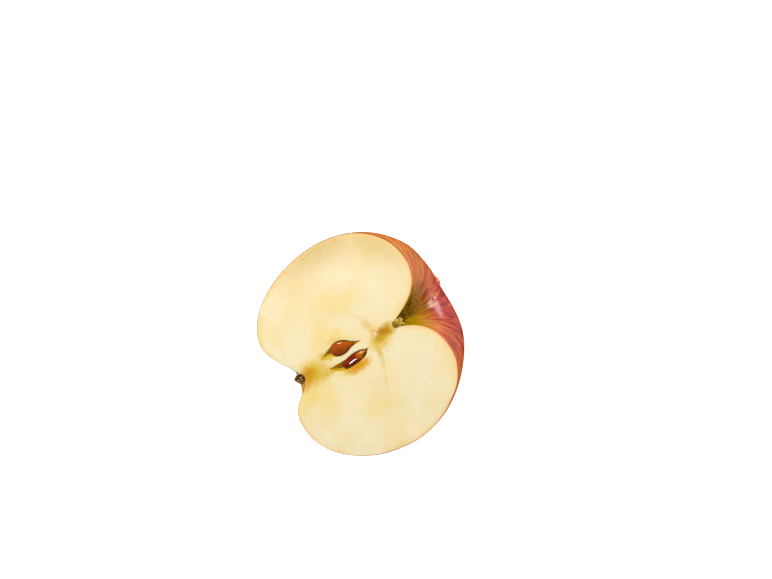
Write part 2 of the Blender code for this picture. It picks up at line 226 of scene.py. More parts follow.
# Water drops that the fruit's skin shows: azimuth and angle from the stem axis
# (degrees), half length down the skin, half width, and height.
Drop = namedtuple("Drop", "azimuth polar half_length half_width height")
SHOWN_DROPS = (
    Drop(103, 19.5, 1.1 * MM, 0.9 * MM, 0.55 * MM),
    Drop(107, 21.5, 0.6 * MM, 0.5 * MM, 0.35 * MM),
    Drop(99, 22.0, 0.5 * MM, 0.4 * MM, 0.3 * MM),
    Drop(111, 32.5, 2.5 * MM, 2.0 * MM, 1.15 * MM),
)

# Clusters of tiny beads of juice on the cut: middle, spread and count.
Beads = namedtuple("Beads", "x y spread count")
BEAD_CLUSTERS = (
    Beads(-34.0 * MM, -1.5 * MM, 1.6 * MM, 7),
    Beads(-33.3 * MM, -6.0 * MM, 1.8 * MM, 5),
    Beads(-34.3 * MM, 5.0 * MM, 1.6 * MM, 6),
    Beads(-24.0 * MM, -1.0 * MM, 4.0 * MM, 6),
    Beads(-21.0 * MM, 7.0 * MM, 3.0 * MM, 5),
    Beads(-14.9 * MM, -12.3 * MM, 2.0 * MM, 3),
    Beads(6.6 * MM, -9.0 * MM, 1.4 * MM, 6),
    Beads(-0.6 * MM, 8.6 * MM, 1.6 * MM, 7),
    Beads(4.6 * MM, 10.0 * MM, 2.2 * MM, 4),
    Beads(14.0 * MM, 4.0 * MM, 9.0 * MM, 6),
)


def paint(red, green, blue):
    """An sRGB colour of 0 to 255 as Blender's linear red, green and blue."""
    shares = np.array((red, green, blue)) / 255
    linear = np.where(shares <= 0.04045, shares / 12.92, ((shares + 0.055) / 1.055) ** 2.4)
    return tuple(float(share) for share in linear)


def colour_property(name, description, default):
    """A colour that the panel shows."""
    return bpy.props.FloatVectorProperty(
        name=name, description=description, default=default, size=3, min=0.0, max=1.0, subtype="COLOR"
    )


def length_property(name, description, default):
    """A length in metres that the panel shows."""
    return bpy.props.FloatProperty(
        name=name, description=description, default=default, min=0.0, unit="LENGTH", precision=5
    )


def power_property(name, description, default):
    """A light's power in watts that the panel shows."""
    return bpy.props.FloatProperty(
        name=name, description=description, default=default, min=0.0, unit="POWER", precision=3
    )


class AppleSizes(bpy.types.PropertyGroup):
    """Sizes of the small things that a user might change."""

    rim_round: length_property("Rim Round", "How far the cut's edge is rounded", 0.12 * MM)
    cut_relief: length_property("Cut Relief", "Height of the cut face's gentle unevenness", 0.07 * MM)
    drop_count: bpy.props.IntProperty(
        name="Drop Count", description="Small water drops strewn over the skin", default=16, min=0
    )
    drop_radius: length_property("Drop Radius", "Largest radius of a strewn drop", 0.75 * MM)
    bead_radius: length_property("Bead Radius", "Largest radius of a bead of juice", 0.24 * MM)
    seed_shuffle: bpy.props.IntProperty(
        name="Shuffle", description="Number that picks the places of the strewn drops and beads", default=7
    )


class AppleColours(bpy.types.PropertyGroup):
    """Colours of the fruit's finishes."""

    flesh: colour_property("Flesh", "Pale cut flesh", paint(250, 234, 196))
    flesh_deep: colour_property("Deep Flesh", "Yellower blotches of the cut flesh", paint(247, 220, 138))
    flesh_green: colour_property("Green Flesh", "Olive-yellow flesh round the core", paint(222, 188, 52))
    flesh_stain: colour_property("Stain", "Brown-olive flesh by the core's two ends", paint(192, 132, 10))
    flesh_amber: colour_property("Amber", "Orange flesh beside a seed and under the skin", paint(228, 158, 8))
    flesh_grey: colour_property("Grey Flesh", "Duller flesh by one edge of the cut", paint(228, 202, 138))
    skin_ground: colour_property("Skin Ground", "Orange-yellow skin between the streaks", paint(212, 120, 52))
    skin_red: colour_property("Skin Red", "Red blush of the skin", paint(180, 48, 36))
    skin_crimson: colour_property("Skin Crimson", "Darkest streaks of the skin", paint(106, 6, 16))
    cavity_green: colour_property("Cavity Green", "Yellow-green skin round the stem", paint(150, 115, 2))
    cavity_russet: colour_property("Cavity Russet", "Olive-brown russet at the stem", paint(112, 78, 2))
    seed_brown: colour_property("Seed Brown", "Coat of the wider seed", paint(170, 78, 6))
    seed_maroon: colour_property("Seed Maroon", "Coat of the narrower seed", paint(120, 24, 2))
    chamber: colour_property("Chamber", "Wall of a seed chamber", paint(216, 176, 6))
    calyx_olive: colour_property("Calyx Olive", "Dried flower leaves", paint(142, 102, 8))
    stem_olive: colour_property("Stem Olive", "Torn stem", paint(194, 154, 12))


class AppleStage(bpy.types.PropertyGroup):
    """Where the camera and the lights stand."""

    camera_distance: length_property("Camera Distance", "From the middle of the cut face", 0.6190)
    camera_tilt: bpy.props.FloatProperty(
        name="Camera Tilt",
        description="Lean from straight above the cut towards the stem",
        default=math.radians(22.0),
        subtype="ANGLE",
    )
    camera_roll: bpy.props.FloatProperty(
        name="Camera Roll",
        description="Turn of the stem's direction up from the picture's right",
        default=math.radians(27.5),
        subtype="ANGLE",
    )
    lens: bpy.props.FloatProperty(name="Lens", description="Focal length", default=85.0, unit="CAMERA")
    centre_right: bpy.props.FloatProperty(
        name="Right", description="Pixels that the cut's middle stands right of the picture's", default=-30.76
    )
    centre_down: bpy.props.FloatProperty(
        name="Down", description="Pixels that the cut's middle stands below the picture's", default=58.51
    )
    key_power: power_property("Key", "Main light", 4.2)
    fill_power: power_property("Fill", "Light on the skin by the stem", 1.2)
    shine_power: power_property("Shine", "Light that only the narrower seed mirrors", 18.0)
    sheen_power: power_property("Sheen", "Low light that only the gloss shows", 0.034)
    sky: bpy.props.FloatProperty(name="Sky", description="Strength of the light from all round", default=0.4)


class Wire:
    """A shader socket that takes Python arithmetic: each operation adds its Math node."""

    def __init__(self, tree, socket=None):
        self.tree = tree
        self.socket = socket

    def add(self, kind, settings=None, values=None, output=0):
        """Adds a node: first its settings, then a value or a link for each socket."""
        node = self.tree.nodes.new(kind)
        for name, setting in (settings or {}).items():
            setattr(node, name, setting)
        for name, value in (values or {}).items():
            if isinstance(value, Wire):
                self.tree.links.new(value.socket, node.inputs[name])
            else:
                node.inputs[name].default_value = value
        return Wire(self.tree, node.outputs[output])

    def math(self, operation, first, second=0.0):
        """One Math node on numbers or wires."""
        return self.add("ShaderNodeMath", {"operation": operation}, {0: first, 1: second})

    def __add__(self, other):
        return self.math("ADD", self, other)

    def __radd__(self, other):
        return self.math("ADD", other, self)

    def __sub__(self, other):
        return self.math("SUBTRACT", self, other)

    def __rsub__(self, other):
        return self.math("SUBTRACT", other, self)

    def __mul__(self, other):
        return self.math("MULTIPLY", self, other)

    def __rmul__(self, other):
        return self.math("MULTIPLY", other, self)

    def __truediv__(self, other):
        return self.math("DIVIDE", self, other)

    def __pow__(self, other):
        return self.math("POWER", self, other)

    def larger(self, other):
        """The larger of two masks at each place."""
        return self.math("MAXIMUM", self, other)

    def clamped(self):
        """Held between 0 and 1."""
        return self.add("ShaderNodeClamp", None, {0: self})

    def step(self, low, high):
        """0 up to low and 1 from high, with a smooth step between; low may be the larger."""
        values = {"Value": self, "From Min": low, "From Max": high}
        return self.add("ShaderNodeMapRange", {"interpolation_type": "SMOOTHSTEP"}, values)

    def mixed(self, colour, other):
        """The colour, turned to the other by this factor; each is a wire or three numbers."""
        first, second = (end if isinstance(end, Wire) else opaque(end) for end in (colour, other))
        return self.add("ShaderNodeMix", {"data_type": "RGBA"}, {0: self, 6: first, 7: second}, output=2)

    def axes(self):
        """The vector's three numbers."""
        node = self.add("ShaderNodeSeparateXYZ", None, {0: self}).socket.node
        return [Wire(self.tree, socket) for socket in node.outputs]

    def noise(self, scale, detail=2.0, roughness=0.5, distortion=0.0):
        """Cloud noise about 0.5 at this place."""
        values = {
            "Vector": self,
            "Scale": scale,
            "Detail": detail,
            "Roughness": roughness,
            "Distortion": distortion,
        }
        return self.add("ShaderNodeTexNoise", None, values)


def opaque(colour):
    """A colour with full alpha, as a colour socket takes it."""
    return (*colour, 1.0)


def new_finish(name, constants):
    """A Principled material with its constant values set, and a first wire in its tree."""
    material = bpy.data.materials.new(name)
    material.use_nodes = True
    shader = material.node_tree.nodes["Principled BSDF"]
    for socket, value in constants.items():
        shader.inputs[socket].default_value = value
    return material, Wire(material.node_tree)


def finish_with(material, **wires):
    """Links wires to the shader's sockets; a keyword's underscore stands for a space."""
    shader = material.node_tree.nodes["Principled BSDF"]
    for name, wire in wires.items():
        material.node_tree.links.new(wire.socket, shader.inputs[name.replace("_", " ")])


def bump(height, distance, strength=1.0):
    """A normal bent by a height of 0 to 1, which stands for this distance in metres."""
    return height.add("ShaderNodeBump", None, {"Strength": strength, "Distance": distance, "Height": height})


def drawn_along(place, across, along, detail=3.0, roughness=0.5):
    """Noise drawn out along Y: its scale across that axis and along it."""
    x, y, z = place.axes()
    values = {0: x * across, 1: y * along, 2: z * across}
    return place.add("ShaderNodeCombineXYZ", None, values).noise(1.0, detail, roughness)


# Flesh

# A stain of the cut flesh: middle, half length along its own line, half width, the
# line's turn from +X (degrees), and strength at the middle.
Stain = namedtuple("Stain", "x y along across turn strength")
YELLOW_BLOTCHES = (
    Stain(-16.5, 2.0, 16.0, 9.5, 85, 0.65),
    Stain(-8.5, -9.0, 11.0, 8.0, 110, 0.7),
    Stain(20.5, -1.0, 13.0, 9.0, 75, 0.6),
    Stain(10.0, -19.0, 16.0, 9.0, 155, 0.7),
    Stain(-2.5, -4.5, 13.0, 7.0, 92, 0.9),
    Stain(4.5, -4.0, 12.0, 6.5, 95, 0.85),
    Stain(1.0, -17.0, 10.0, 8.0, 95, 1.0),
    Stain(0.5, 10.0, 9.0, 7.0, 95, 0.7),
    Stain(7.0, -24.0, 9.0, 6.0, 130, 1.0),
    Stain(-5.6, -5.0, 7.0, 3.4, 82, 0.9),
)
GREEN_STAINS = (
    Stain(-4.6, 7.9, 6.5, 2.4, 21, 0.5),
    Stain(0.9, 10.4, 7.4, 4.2, 112, 1.0),
    Stain(4.4, 7.4, 5.4, 2.0, 168, 0.75),
    Stain(9.0, 6.6, 5.0, 1.1, 162, 0.35),
    Stain(14.0, 4.6, 6.5, 0.9, 160, 0.28),
    Stain(-10.0, 4.8, 5.5, 0.9, 28, 0.22),
    Stain(-0.6, 13.4, 5.4, 3.6, 88, 1.0),
    Stain(1.4, -18.6, 10.0, 6.4, 95, 1.0),
    Stain(3.2, -14.6, 7.0, 3.2, 100, 0.85),
    Stain(3.2, -11.0, 4.4, 2.2, 100, 0.9),
    Stain(-1.8, -11.2, 4.6, 2.4, 75, 1.0),
    Stain(5.6, -5.8, 4.6, 2.7, 80, 0.9),
    Stain(6.2, -0.8, 6.2, 2.6, 97, 0.9),
    Stain(-5.4, -5.5, 5.5, 1.7, 82, 0.4),
)
OLIVE_STAINS = (
    Stain(0.9, -20.4, 4.2, 3.2, 95, 0.45),
    Stain(-0.8, 12.2, 4.8, 2.7, 84, 1.0),
    Stain(0.6, 9.4, 3.4, 2.2, 100, 0.5),
)
AMBER_STAINS = (
    Stain(5.9, -2.0, 6.8, 2.7, 97, 1.0),
    Stain(3.2, -22.4, 5.0, 3.0, 125, 0.75),
    Stain(0.6, -19.8, 4.0, 2.4, 90, 0.8),
    Stain(-1.3, 8.8, 2.2, 2.2, 0, 0.6),
    Stain(-33.5, -10.1, 2.2, 0.8, 56, 0.25),
    Stain(-35.5, 11.6, 1.6, 0.7, 80, 0.25),
)
GREY_STAINS = (
    Stain(-36.0, 4.0, 30.0, 20.0, 85, 1.0),
    Stain(-28.0, 24.0, 22.0, 14.0, 50, 0.9),
)
# Where near-white specks are painted into the flesh as glints of wet juice: painted highlights.
PAINTED_GLINT_PLACES = (
    Stain(-34.5, 0.0, 10.0, 3.4, 88, 1.0),
    Stain(-34.0, 14.5, 5.0, 2.0, 70, 0.9),
    Stain(-24.0, 3.0, 7.0, 4.0, 60, 0.6),
    Stain(-20.0, 5.0, 6.0, 4.0, 40, 0.5),
    Stain(-14.0, 14.0, 7.0, 3.0, 20, 0.4),
    Stain(-24.0, 22.0, 9.0, 2.5, 50, 0.6),
    Stain(6.5, -9.0, 3.0, 2.0, 30, 0.8),
    Stain(1.2, -10.0, 4.0, 1.2, 95, 0.8),
    Stain(-0.8, 8.4, 4.0, 3.0, 90, 0.9),
    Stain(4.0, 9.5, 5.0, 2.5, 170, 0.6),
    Stain(32.0, 14.0, 12.0, 2.0, 108, 0.5),
    Stain(20.0, -29.0, 12.0, 1.6, 15, 0.4),
)
PALE_DOT = Stain(-1.3, 8.8, 1.2, 1.1, 0, 1.0)
PALE_STRANDS = Stain(0.4, -3.4, 12.0, 1.7, 97, 1.0)
BASIN_RIM = Stain(0.0, -26.0, 12.0, 7.0, 0, 1.0)
CAVITY_RIM = Stain(-1.0, 21.0, 20.0, 14.0, 90, 1.0)

# Reach of the noise that frays the outlines of the stains, the amber ones and the blotches (mm).
STAIN_RAGGEDNESS = 3.2
AMBER_RAGGEDNESS = 1.4
BLOTCH_DRIFT = 14.0

FIBRE_PALE = paint(255, 244, 214)
UNDER_SKIN_PEACH = paint(248, 206, 134)
EDGE_GREEN = paint(206, 204, 104)
DOT_PEACH = paint(255, 222, 170)
STRAND_PALE = paint(244, 238, 196)
PAINTED_GLINT_WHITE = paint(255, 253, 242)
RIM_ORANGE = paint(214, 124, 58)
RIM_BROWN = paint(128, 84, 30)
BASIN_RIM_OLIVE = paint(138, 108, 30)
CAVITY_RIM_GOLD = paint(214, 176, 70)


def stain_mask(spot, stains):
    """Greatest of the stains' strengths, each fading by a smooth step from middle to edge."""
    x, y = spot
    mask = None
    for stain in stains:
        turn = math.radians(stain.turn)
        right = x - stain.x
        ahead = y - stain.y
        along = (right * math.cos(turn) + ahead * math.sin(turn)) / stain.along
        across = (ahead * math.cos(turn) - right * math.sin(turn)) / stain.across
        away = (along * along + across * across) ** 0.5
        strength = away.step(1.0, 0.1) * stain.strength
        mask = strength if mask is None else mask.larger(strength)
    return mask


def pushed(spot, push, reach):
    """A spot on the cut in millimetres, moved by a push of -0.5 to 0.5 on each axis times the reach."""
    return tuple(axis + amount * reach for axis, amount in zip(spot, push))


def radial_fibres(x, y):
    """Faint streaks that run out from the core: noise of the angle, stretched outwards."""
    angle = x.math("ARCTAN2", x, y + 2 * MM)
    away = (x * x + y * y) ** 0.5
    fan = x.add("ShaderNodeCombineXYZ", None, {0: angle * 26.0, 1: away * 55.0})
    return fan.noise(1.0, 4.0, 0.65, 0.3).step(0.5, 0.78)


def blotched_flesh(colours, place, warped, cloudy):
    """Pale flesh with yellower blotches whose outlines drift."""
    drift = (place.noise(85.0, 2.0) - 0.5, place.noise(97.0, 2.0, 0.5, 0.5) - 0.5)
    blotches = stain_mask(pushed(warped, drift, BLOTCH_DRIFT), YELLOW_BLOTCHES)
    mottled = (cloudy.step(0.42, 0.72) * 0.45).larger(blotches)
    return mottled.mixed(colours.flesh, colours.flesh_deep)


def flesh_near_skin(colours, colour, place, warped, depth_mm):
    """Duller flesh by one edge of the cut, a peach band under the skin, and a few green spots in it."""
    grey = stain_mask(warped, GREY_STAINS) * depth_mm.step(15.0, 0.0)
    colour = grey.mixed(colour, colours.flesh_grey)
    under_skin = depth_mm.step(2.4, 0.0) * place.noise(70.0, 1.0).step(0.3, 0.6)
    colour = (under_skin * 0.7).mixed(colour, UNDER_SKIN_PEACH)
    green_edge = depth_mm.step(4.5, 1.0) * place.noise(240.0, 1.0).step(0.55, 0.68)
    return (green_edge * 0.18).mixed(colour, EDGE_GREEN)


def stained_core(colours, colour, exact, amber_spot, warped, olive):
    """The core's green and amber flesh, its brown-olive ends and the pale dot by the stem."""
    colour = stain_mask(warped, GREEN_STAINS).mixed(colour, colours.flesh_green)
    colour = stain_mask(amber_spot, AMBER_STAINS).mixed(colour, colours.flesh_amber)
    colour = olive.mixed(colour, colours.flesh_stain)
    return stain_mask(exact, (PALE_DOT,)).mixed(colour, DOT_PEACH)


def skin_line_colour(place, exact, warped):
    """The skin's edge as the cut shows it: orange, brown at one side, olive and gold at its two hollows."""
    browner = (warped[0] + place.noise(50.0, 1.0) * 10.0).step(-4.0, -24.0)
    colour = browner.mixed(RIM_ORANGE, RIM_BROWN)
    colour = stain_mask(exact, (BASIN_RIM,)).mixed(colour, BASIN_RIM_OLIVE)
    return stain_mask(exact, (CAVITY_RIM,)).mixed(colour, CAVITY_RIM_GOLD)


def flesh_finish(colours):
    """Moist pale flesh: blotches, the core's stains, fine grain, near-white specks painted as glints of
    juice, and the skin's edge line.
    """
    constants = {
        "Roughness": 0.38,
        "Subsurface Weight": 0.35,
        "Subsurface Radius": (1.0, 0.65, 0.3),
        "Subsurface Scale": 0.0025,
        "Coat Roughness": 0.12,
        "Coat IOR": 1.3,
        "IOR": 1.38,
        "Specular IOR Level": 0.25,
    }
    material, root = new_finish("wet_flesh", constants)
    place = root.add("ShaderNodeTexCoord", output="Object")
    x, y, _ = place.axes()
    exact = (x / MM, y / MM)
    ragged = (place.noise(420.0, 3.0, 0.65) - 0.5, place.noise(470.0, 3.0, 0.65, 0.4) - 0.5)
    warped = pushed(exact, ragged, STAIN_RAGGEDNESS)
    _, depth, _ = root.add("ShaderNodeUVMap", {"uv_map": "cut_map"}).axes()
    depth_mm = depth * CUT_MAP_DEPTH / MM

    cloudy = place.noise(75.0, 3.0, 0.55)
    grain = place.noise(2600.0, 2.0, 0.6)
    colour = blotched_flesh(colours, place, warped, cloudy)
    colour = (grain.step(0.35, 0.75) * 0.10).mixed(colour, colours.flesh_deep)
    colour = (radial_fibres(x, y) * 0.16).mixed(colour, FIBRE_PALE)
    colour = flesh_near_skin(colours, colour, place, warped, depth_mm)

    olive = stain_mask(warped, OLIVE_STAINS)
    speckled = (olive * (0.7 + cloudy * 0.2 + grain * 0.4)).clamped()
    amber_spot = pushed(exact, ragged, AMBER_RAGGEDNESS)
    colour = stained_core(colours, colour, exact, amber_spot, warped, speckled)
    strands = root.add("ShaderNodeCombineXYZ", None, {0: x * 1800.0, 1: y * 260.0}).noise(1.0, 3.0, 0.6)
    stranded = stain_mask(exact, (PALE_STRANDS,)) * strands.step(0.36, 0.6)
    colour = stranded.mixed(colour, STRAND_PALE)

    # Painted highlights: near-white specks in the flesh's colour stand in for glints of juice; the bump also
    # raises them a little.
    painted_glints = stain_mask(warped, PAINTED_GLINT_PLACES)
    cells = place.add("ShaderNodeTexVoronoi", None, {"Vector": place, "Scale": 1150.0})
    specks = cells.step(0.26, 0.16) * painted_glints.step(0.05, 0.4) * place.noise(800.0, 1.0).step(0.5, 0.54)
    colour = specks.mixed(colour, PAINTED_GLINT_WHITE)
    colour = depth_mm.step(0.32, 0.2).mixed(colour, skin_line_colour(place, exact, warped))

    wet = place.noise(140.0, 2.0).step(0.35, 0.65)
    swirl = grain * 0.5 + cells * 0.4 + place.noise(520.0, 3.0, 0.6) * 0.9 + olive * strands * 0.8 + specks
    finish_with(
        material,
        Base_Color=colour,
        Roughness=0.46 - wet * 0.16,
        Coat_Weight=wet * 0.55,
        Normal=bump(swirl, 0.05 * MM, 0.7),
    )
    return material


# Skin


# Streaks down the skin: how many cross the half turn, how many follow each other from stem
# to base, where in the noise they lie, and how crooked they are.
Streaks = namedtuple("Streaks", "across along shift crook")
HAIRLINES = Streaks(260.0, 26.0, 1.0, 0.8)
FINE_STREAKS = Streaks(130.0, 14.0, 4.0, 0.9)
WIDE_STREAKS = Streaks(36.0, 6.0, 9.0, 1.0)

GROUND_GOLD = paint(210, 142, 52)
BASIN_GOLD = paint(206, 150, 40)
RUSSET_DARK = paint(64, 38, 2)
RUSSET_GOLD = paint(222, 180, 40)
PALE_DOTS = paint(240, 196, 128)


def drawn_out(around, down, streaks):
    """Noise drawn out down the skin."""
    values = {0: around * streaks.across, 1: down * streaks.along, 2: streaks.shift}
    return around.add("ShaderNodeCombineXYZ", None, values).noise(1.0, 3.0, 0.6, streaks.crook)


def striped_colour(colours, place, around, down, wide, fine, hairline):
    """Red over a golden ground, with dark broken streaks; paler by both lobes' edges of the cut."""
    blush = place.noise(34.0, 2.0, 0.5, 0.3)
    ground = blush.step(0.38, 0.62).mixed(GROUND_GOLD, colours.skin_ground)
    paler_rim = around.step(0.78, 0.97) * down.step(0.5, 0.25)
    paler = paler_rim * 0.2 + around.step(0.3, 0.08) * 0.12
    redness = (wide * 1.2 + fine * 0.9 + blush * 0.8 - paler - 1.02).step(0.12, 0.62)
    colour = redness.mixed(ground, colours.skin_red)
    broken = place.noise(260.0, 2.0).step(0.36, 0.6)
    dark = fine.step(0.5, 0.62) * broken * 0.95 + hairline.step(0.5, 0.6) * 0.5
    dark_share = (dark * (0.6 + redness * 0.8 - paler_rim * 0.15)).clamped()
    return dark_share.mixed(colour, colours.skin_crimson)


def russet_colour(colours, colour, russet, speckle):
    """Brown-olive russet with dark and golden specks."""
    colour = (russet * 0.9).mixed(colour, colours.cavity_russet)
    colour = (russet * speckle.step(0.5, 0.42)).mixed(colour, RUSSET_DARK)
    return (russet * speckle.step(0.58, 0.66)).mixed(colour, RUSSET_GOLD)


def skin_finish(colours):
    """Streaked skin: red over yellow down the meridians, olive russet at the stem that also stands in as
    painted shade on one side of the cavity, pale dots.
    """
    constants = {"Specular IOR Level": 0.0, "Coat Roughness": 0.22, "Coat IOR": 1.24}
    material, root = new_finish("striped_skin", constants)
    place = root.add("ShaderNodeTexCoord", output="Object")
    around, down, _ = root.add("ShaderNodeUVMap", {"uv_map": "skin_map"}).axes()
    hairline, fine, wide = (
        drawn_out(around, down, streaks) for streaks in (HAIRLINES, FINE_STREAKS, WIDE_STREAKS)
    )
    colour = striped_colour(colours, place, around, down, wide, fine, hairline)

    edge = down + (fine - 0.5) * 0.2 + (hairline - 0.5) * 0.1 + around.step(0.85, 0.6) * 0.025
    colour = edge.step(0.145, 0.085).mixed(colour, colours.cavity_green)
    colour = edge.step(0.86, 0.94).mixed(colour, BASIN_GOLD)
    speckle = place.noise(1250.0, 3.0, 0.75)
    # Painted shade, partly: the dark russet reaches further up the cavity by the left lobe, where that lobe
    # shades the cavity; the russet itself is real.
    painted_shade_lobe = around.step(0.45, 0.75) * 0.035
    russet = (edge - painted_shade_lobe + (speckle - 0.5) * 0.09).step(0.075, 0.03)
    colour = russet_colour(colours, colour, russet, speckle)

    dots = place.add("ShaderNodeTexVoronoi", None, {"Vector": place, "Scale": 290.0, "Randomness": 0.9})
    pale_dots = dots.step(0.10, 0.06) * down.step(0.12, 0.3)
    colour = (pale_dots * 0.55).mixed(colour, PALE_DOTS)

    waxy = place.noise(420.0, 3.0, 0.6)
    pores = place.noise(1700.0, 2.0, 0.5)
    height = waxy * 0.7 + pores * 0.35 + fine * 0.4 + speckle * russet * 1.6 - pale_dots * 0.25
    facing = root.add("ShaderNodeLayerWeight", None, {"Blend": 0.5}, output=1)
    finish_with(
        material,
        Base_Color=colour,
        Roughness=0.4 + waxy * 0.14 + russet * 0.3,
        Coat_Weight=((1.0 - russet * 0.8) * facing.step(0.85, 0.3)).clamped(),
        Normal=bump(height, 0.05 * MM, 0.8),
    )
    return material


# Darker parchment painted deep in a chamber as its shade.
CHAMBER_PAINTED_SHADE = paint(196, 138, 4)
CHAMBER_VEIN = paint(236, 206, 90)
CHAMBER_ORANGE = paint(200, 124, 8)


def chamber_finish(colours):
    """The parchment of a seed chamber: olive-yellow, veined, with painted shade darkening it towards its
    depth, and browner towards the stem.
    """
    constants = {
        "Roughness": 0.3,
        "Subsurface Weight": 0.75,
        "Subsurface Radius": (1.0, 0.75, 0.1),
        "Subsurface Scale": 0.003,
        "Specular IOR Level": 0.2,
        "Coat Weight": 0.12,
    }
    material, root = new_finish("chamber_parchment", constants)
    place = root.add("ShaderNodeTexCoord", output="Object")
    _, y, z = place.axes()
    veins = drawn_along(place, 900.0, 160.0)
    # Painted shade: the parchment darkens further below the cut, where the chamber's depth lies in shadow.
    painted_depth_shade = ((CUT_HEIGHT - z) / MM + veins * 0.9).step(0.9, 2.6)
    colour = painted_depth_shade.mixed(colours.chamber, CHAMBER_PAINTED_SHADE)
    colour = (veins.step(0.5, 0.7) * 0.15).mixed(colour, CHAMBER_VEIN)
    colour = (y / MM + veins).step(-2.0, 1.5).mixed(colour, CHAMBER_ORANGE)
    finish_with(material, Base_Color=colour, Normal=bump(veins, 0.12 * MM, 0.6))
    return material


# Body


def bezier(controls, count):
    """Points along cubic curves, each one's end left out.

    Controls are (..., 4 controls, 3) and points (..., count, 3).
    """
    t = np.arange(count) / count
    weights = np.stack([(1 - t) ** 3, 3 * (1 - t) ** 2 * t, 3 * (1 - t) * t**2, t**3])
    return np.einsum("...kc,kn->...nc", controls, weights)


def lobe_curves(lobe):
    """The four curves of a lobe's outline, as (radius, height, drift) controls."""
    floor = (0, lobe.cavity_floor, CAVITY_DRIFT)
    floor_handle = (lobe.cavity_floor_reach, lobe.cavity_floor, CAVITY_DRIFT)
    shoulder = (lobe.shoulder_radius, lobe.shoulder_height, 0)
    lip_handle = (lobe.shoulder_radius - lobe.cavity_lip_reach, lobe.shoulder_height, 0)
    shoulder_handle = (lobe.shoulder_radius + lobe.shoulder_reach, lobe.shoulder_height, 0)
    widest = (lobe.widest_radius, lobe.widest_height, 0)
    above_handle = (lobe.widest_radius, lobe.widest_height + lobe.above_widest_reach, 0)
    below_handle = (lobe.widest_radius, lobe.widest_height - lobe.below_widest_reach, 0)
    base = (lobe.base_radius, lobe.base_height, 0)
    outer_handle = (lobe.base_radius + lobe.base_outer_reach, lobe.base_height, 0)
    inner_handle = (lobe.base_radius - lobe.base_inner_reach, lobe.base_height, 0)
    basin = (0, lobe.basin_floor, BASIN_DRIFT)
    basin_handle = (lobe.basin_floor_reach, lobe.basin_floor, BASIN_DRIFT)
    return np.array(
        (
            (floor, floor_handle, lip_handle, shoulder),
            (shoulder, shoulder_handle, above_handle, widest),
            (widest, below_handle, outer_handle, base),
            (base, inner_handle, basin_handle, basin),
        )
    )


def fruit_side():
    """The rounded side as (azimuth, outline) arrays: points, azimuths and polar angles.

    An outline between the lobes is their mix by the cosine of the azimuth. The swells,
    bell curves of the angle from their middles, and the base's ribs lift it outwards.
    """
    even = np.linspace(0, 1, AZIMUTH_STEPS + 1)
    crowded = even - AZIMUTH_CROWDING / math.tau * np.sin(math.tau * even)
    azimuth = math.pi * crowded[:, None]
    share = (0.5 + 0.5 * np.cos(azimuth))[:, :, None, None]
    curves = share * lobe_curves(RIGHT_LOBE) + (1 - share) * lobe_curves(LEFT_LOBE)
    runs = [bezier(curves[:, index], count) for index, count in enumerate(OUTLINE_STEPS)]
    outline = np.concatenate([*runs, curves[:, -1, -1:]], axis=1)
    radius, height, drift = np.moveaxis(outline, 2, 0)
    polar = np.arctan2(radius, height)
    lift = -RIB_HEIGHT * (polar / math.pi) ** 2 * np.sin(polar) * np.sin(RIB_COUNT * azimuth)
    for swell in SWELLS:
        there = math.radians(swell.polar)
        turn = azimuth - math.radians(swell.azimuth)
        cosine = np.cos(polar) * math.cos(there) + np.sin(polar) * math.sin(there) * np.cos(turn)
        away = np.arccos(np.clip(cosine, -1, 1)) / math.radians(swell.spread)
        lift = lift + swell.height * np.exp(-(away**2))
    lift = np.where(radius < 0.001 * MM, 0, lift)
    out = radius + lift * np.sin(polar)
    x = drift + out * np.cos(azimuth)
    y = height + lift * np.cos(polar)
    z = np.maximum(CUT_HEIGHT - out * np.sin(azimuth), 0)
    return np.stack([x, y, z], axis=2), azimuth, polar


def cut_relief(x, y, height):
    """Height of the cut face: slow waves, and finer ones along the knife's way."""
    slow = np.sin(x / (9 * MM) + 1.3) * np.sin(y / (7 * MM) + 0.4)
    slow = slow + 0.6 * np.sin((x - y) / (5 * MM))
    along_knife = 0.2 * np.sin((0.35 * x + y) / (1.1 * MM) + 2 * np.sin(x / (6 * MM)))
    return height * (0.5 * slow + along_knife)


def distance_to_loop(points, loop):
    """Distance of each point from the nearest edge of a closed loop."""
    edge = np.roll(loop, -1, axis=0) - loop
    reach = points[:, None] - loop
    share = np.clip((reach * edge).sum(axis=2) / (edge**2).sum(axis=1), 0, 1)
    return np.linalg.norm(reach - share[:, :, None] * edge, axis=2).min(axis=1)


def cut_face(rim, sizes):
    """Rings of points from the rim to the middle of the cut, and each one's depth from the rim.

    The rings are the rim shrunk towards the middle, close together at the rim.
    """
    inward = np.linspace(0, 1, FACE_RINGS) ** RING_CROWDING
    inward = np.concatenate([[0], FIRST_RING + (1 - FIRST_RING) * inward])
    middle = np.array((0.0, FACE_MIDDLE_Y))
    points = middle + (1 - inward[:, None, None]) * (rim[None, :, :2] - middle)
    x, y = points[..., 0], points[..., 1]
    depth = np.stack([distance_to_loop(ring[:, :2], rim[:, :2]) for ring in points])
    z = CUT_HEIGHT - sizes.rim_round * (inward == 0)[:, None]
    z = z + cut_relief(x, y, sizes.cut_relief) * np.clip(depth / (3 * MM), 0, 1)
    return np.stack([x, y, z], axis=2), depth


def grid_faces(rows, columns, first=0, ring=False):
    """Corner numbers of a grid's quads, whose rows are rings where ring is true."""
    row, column = np.meshgrid(np.arange(rows - 1), np.arange(columns if ring else columns - 1), indexing="ij")
    after = (column + 1) % columns
    corners = (row * columns + column, row * columns + after, (row + 1) * columns + after)
    quads = np.stack([*corners, (row + 1) * columns + column], axis=2)
    return quads.reshape(-1, 4) + first


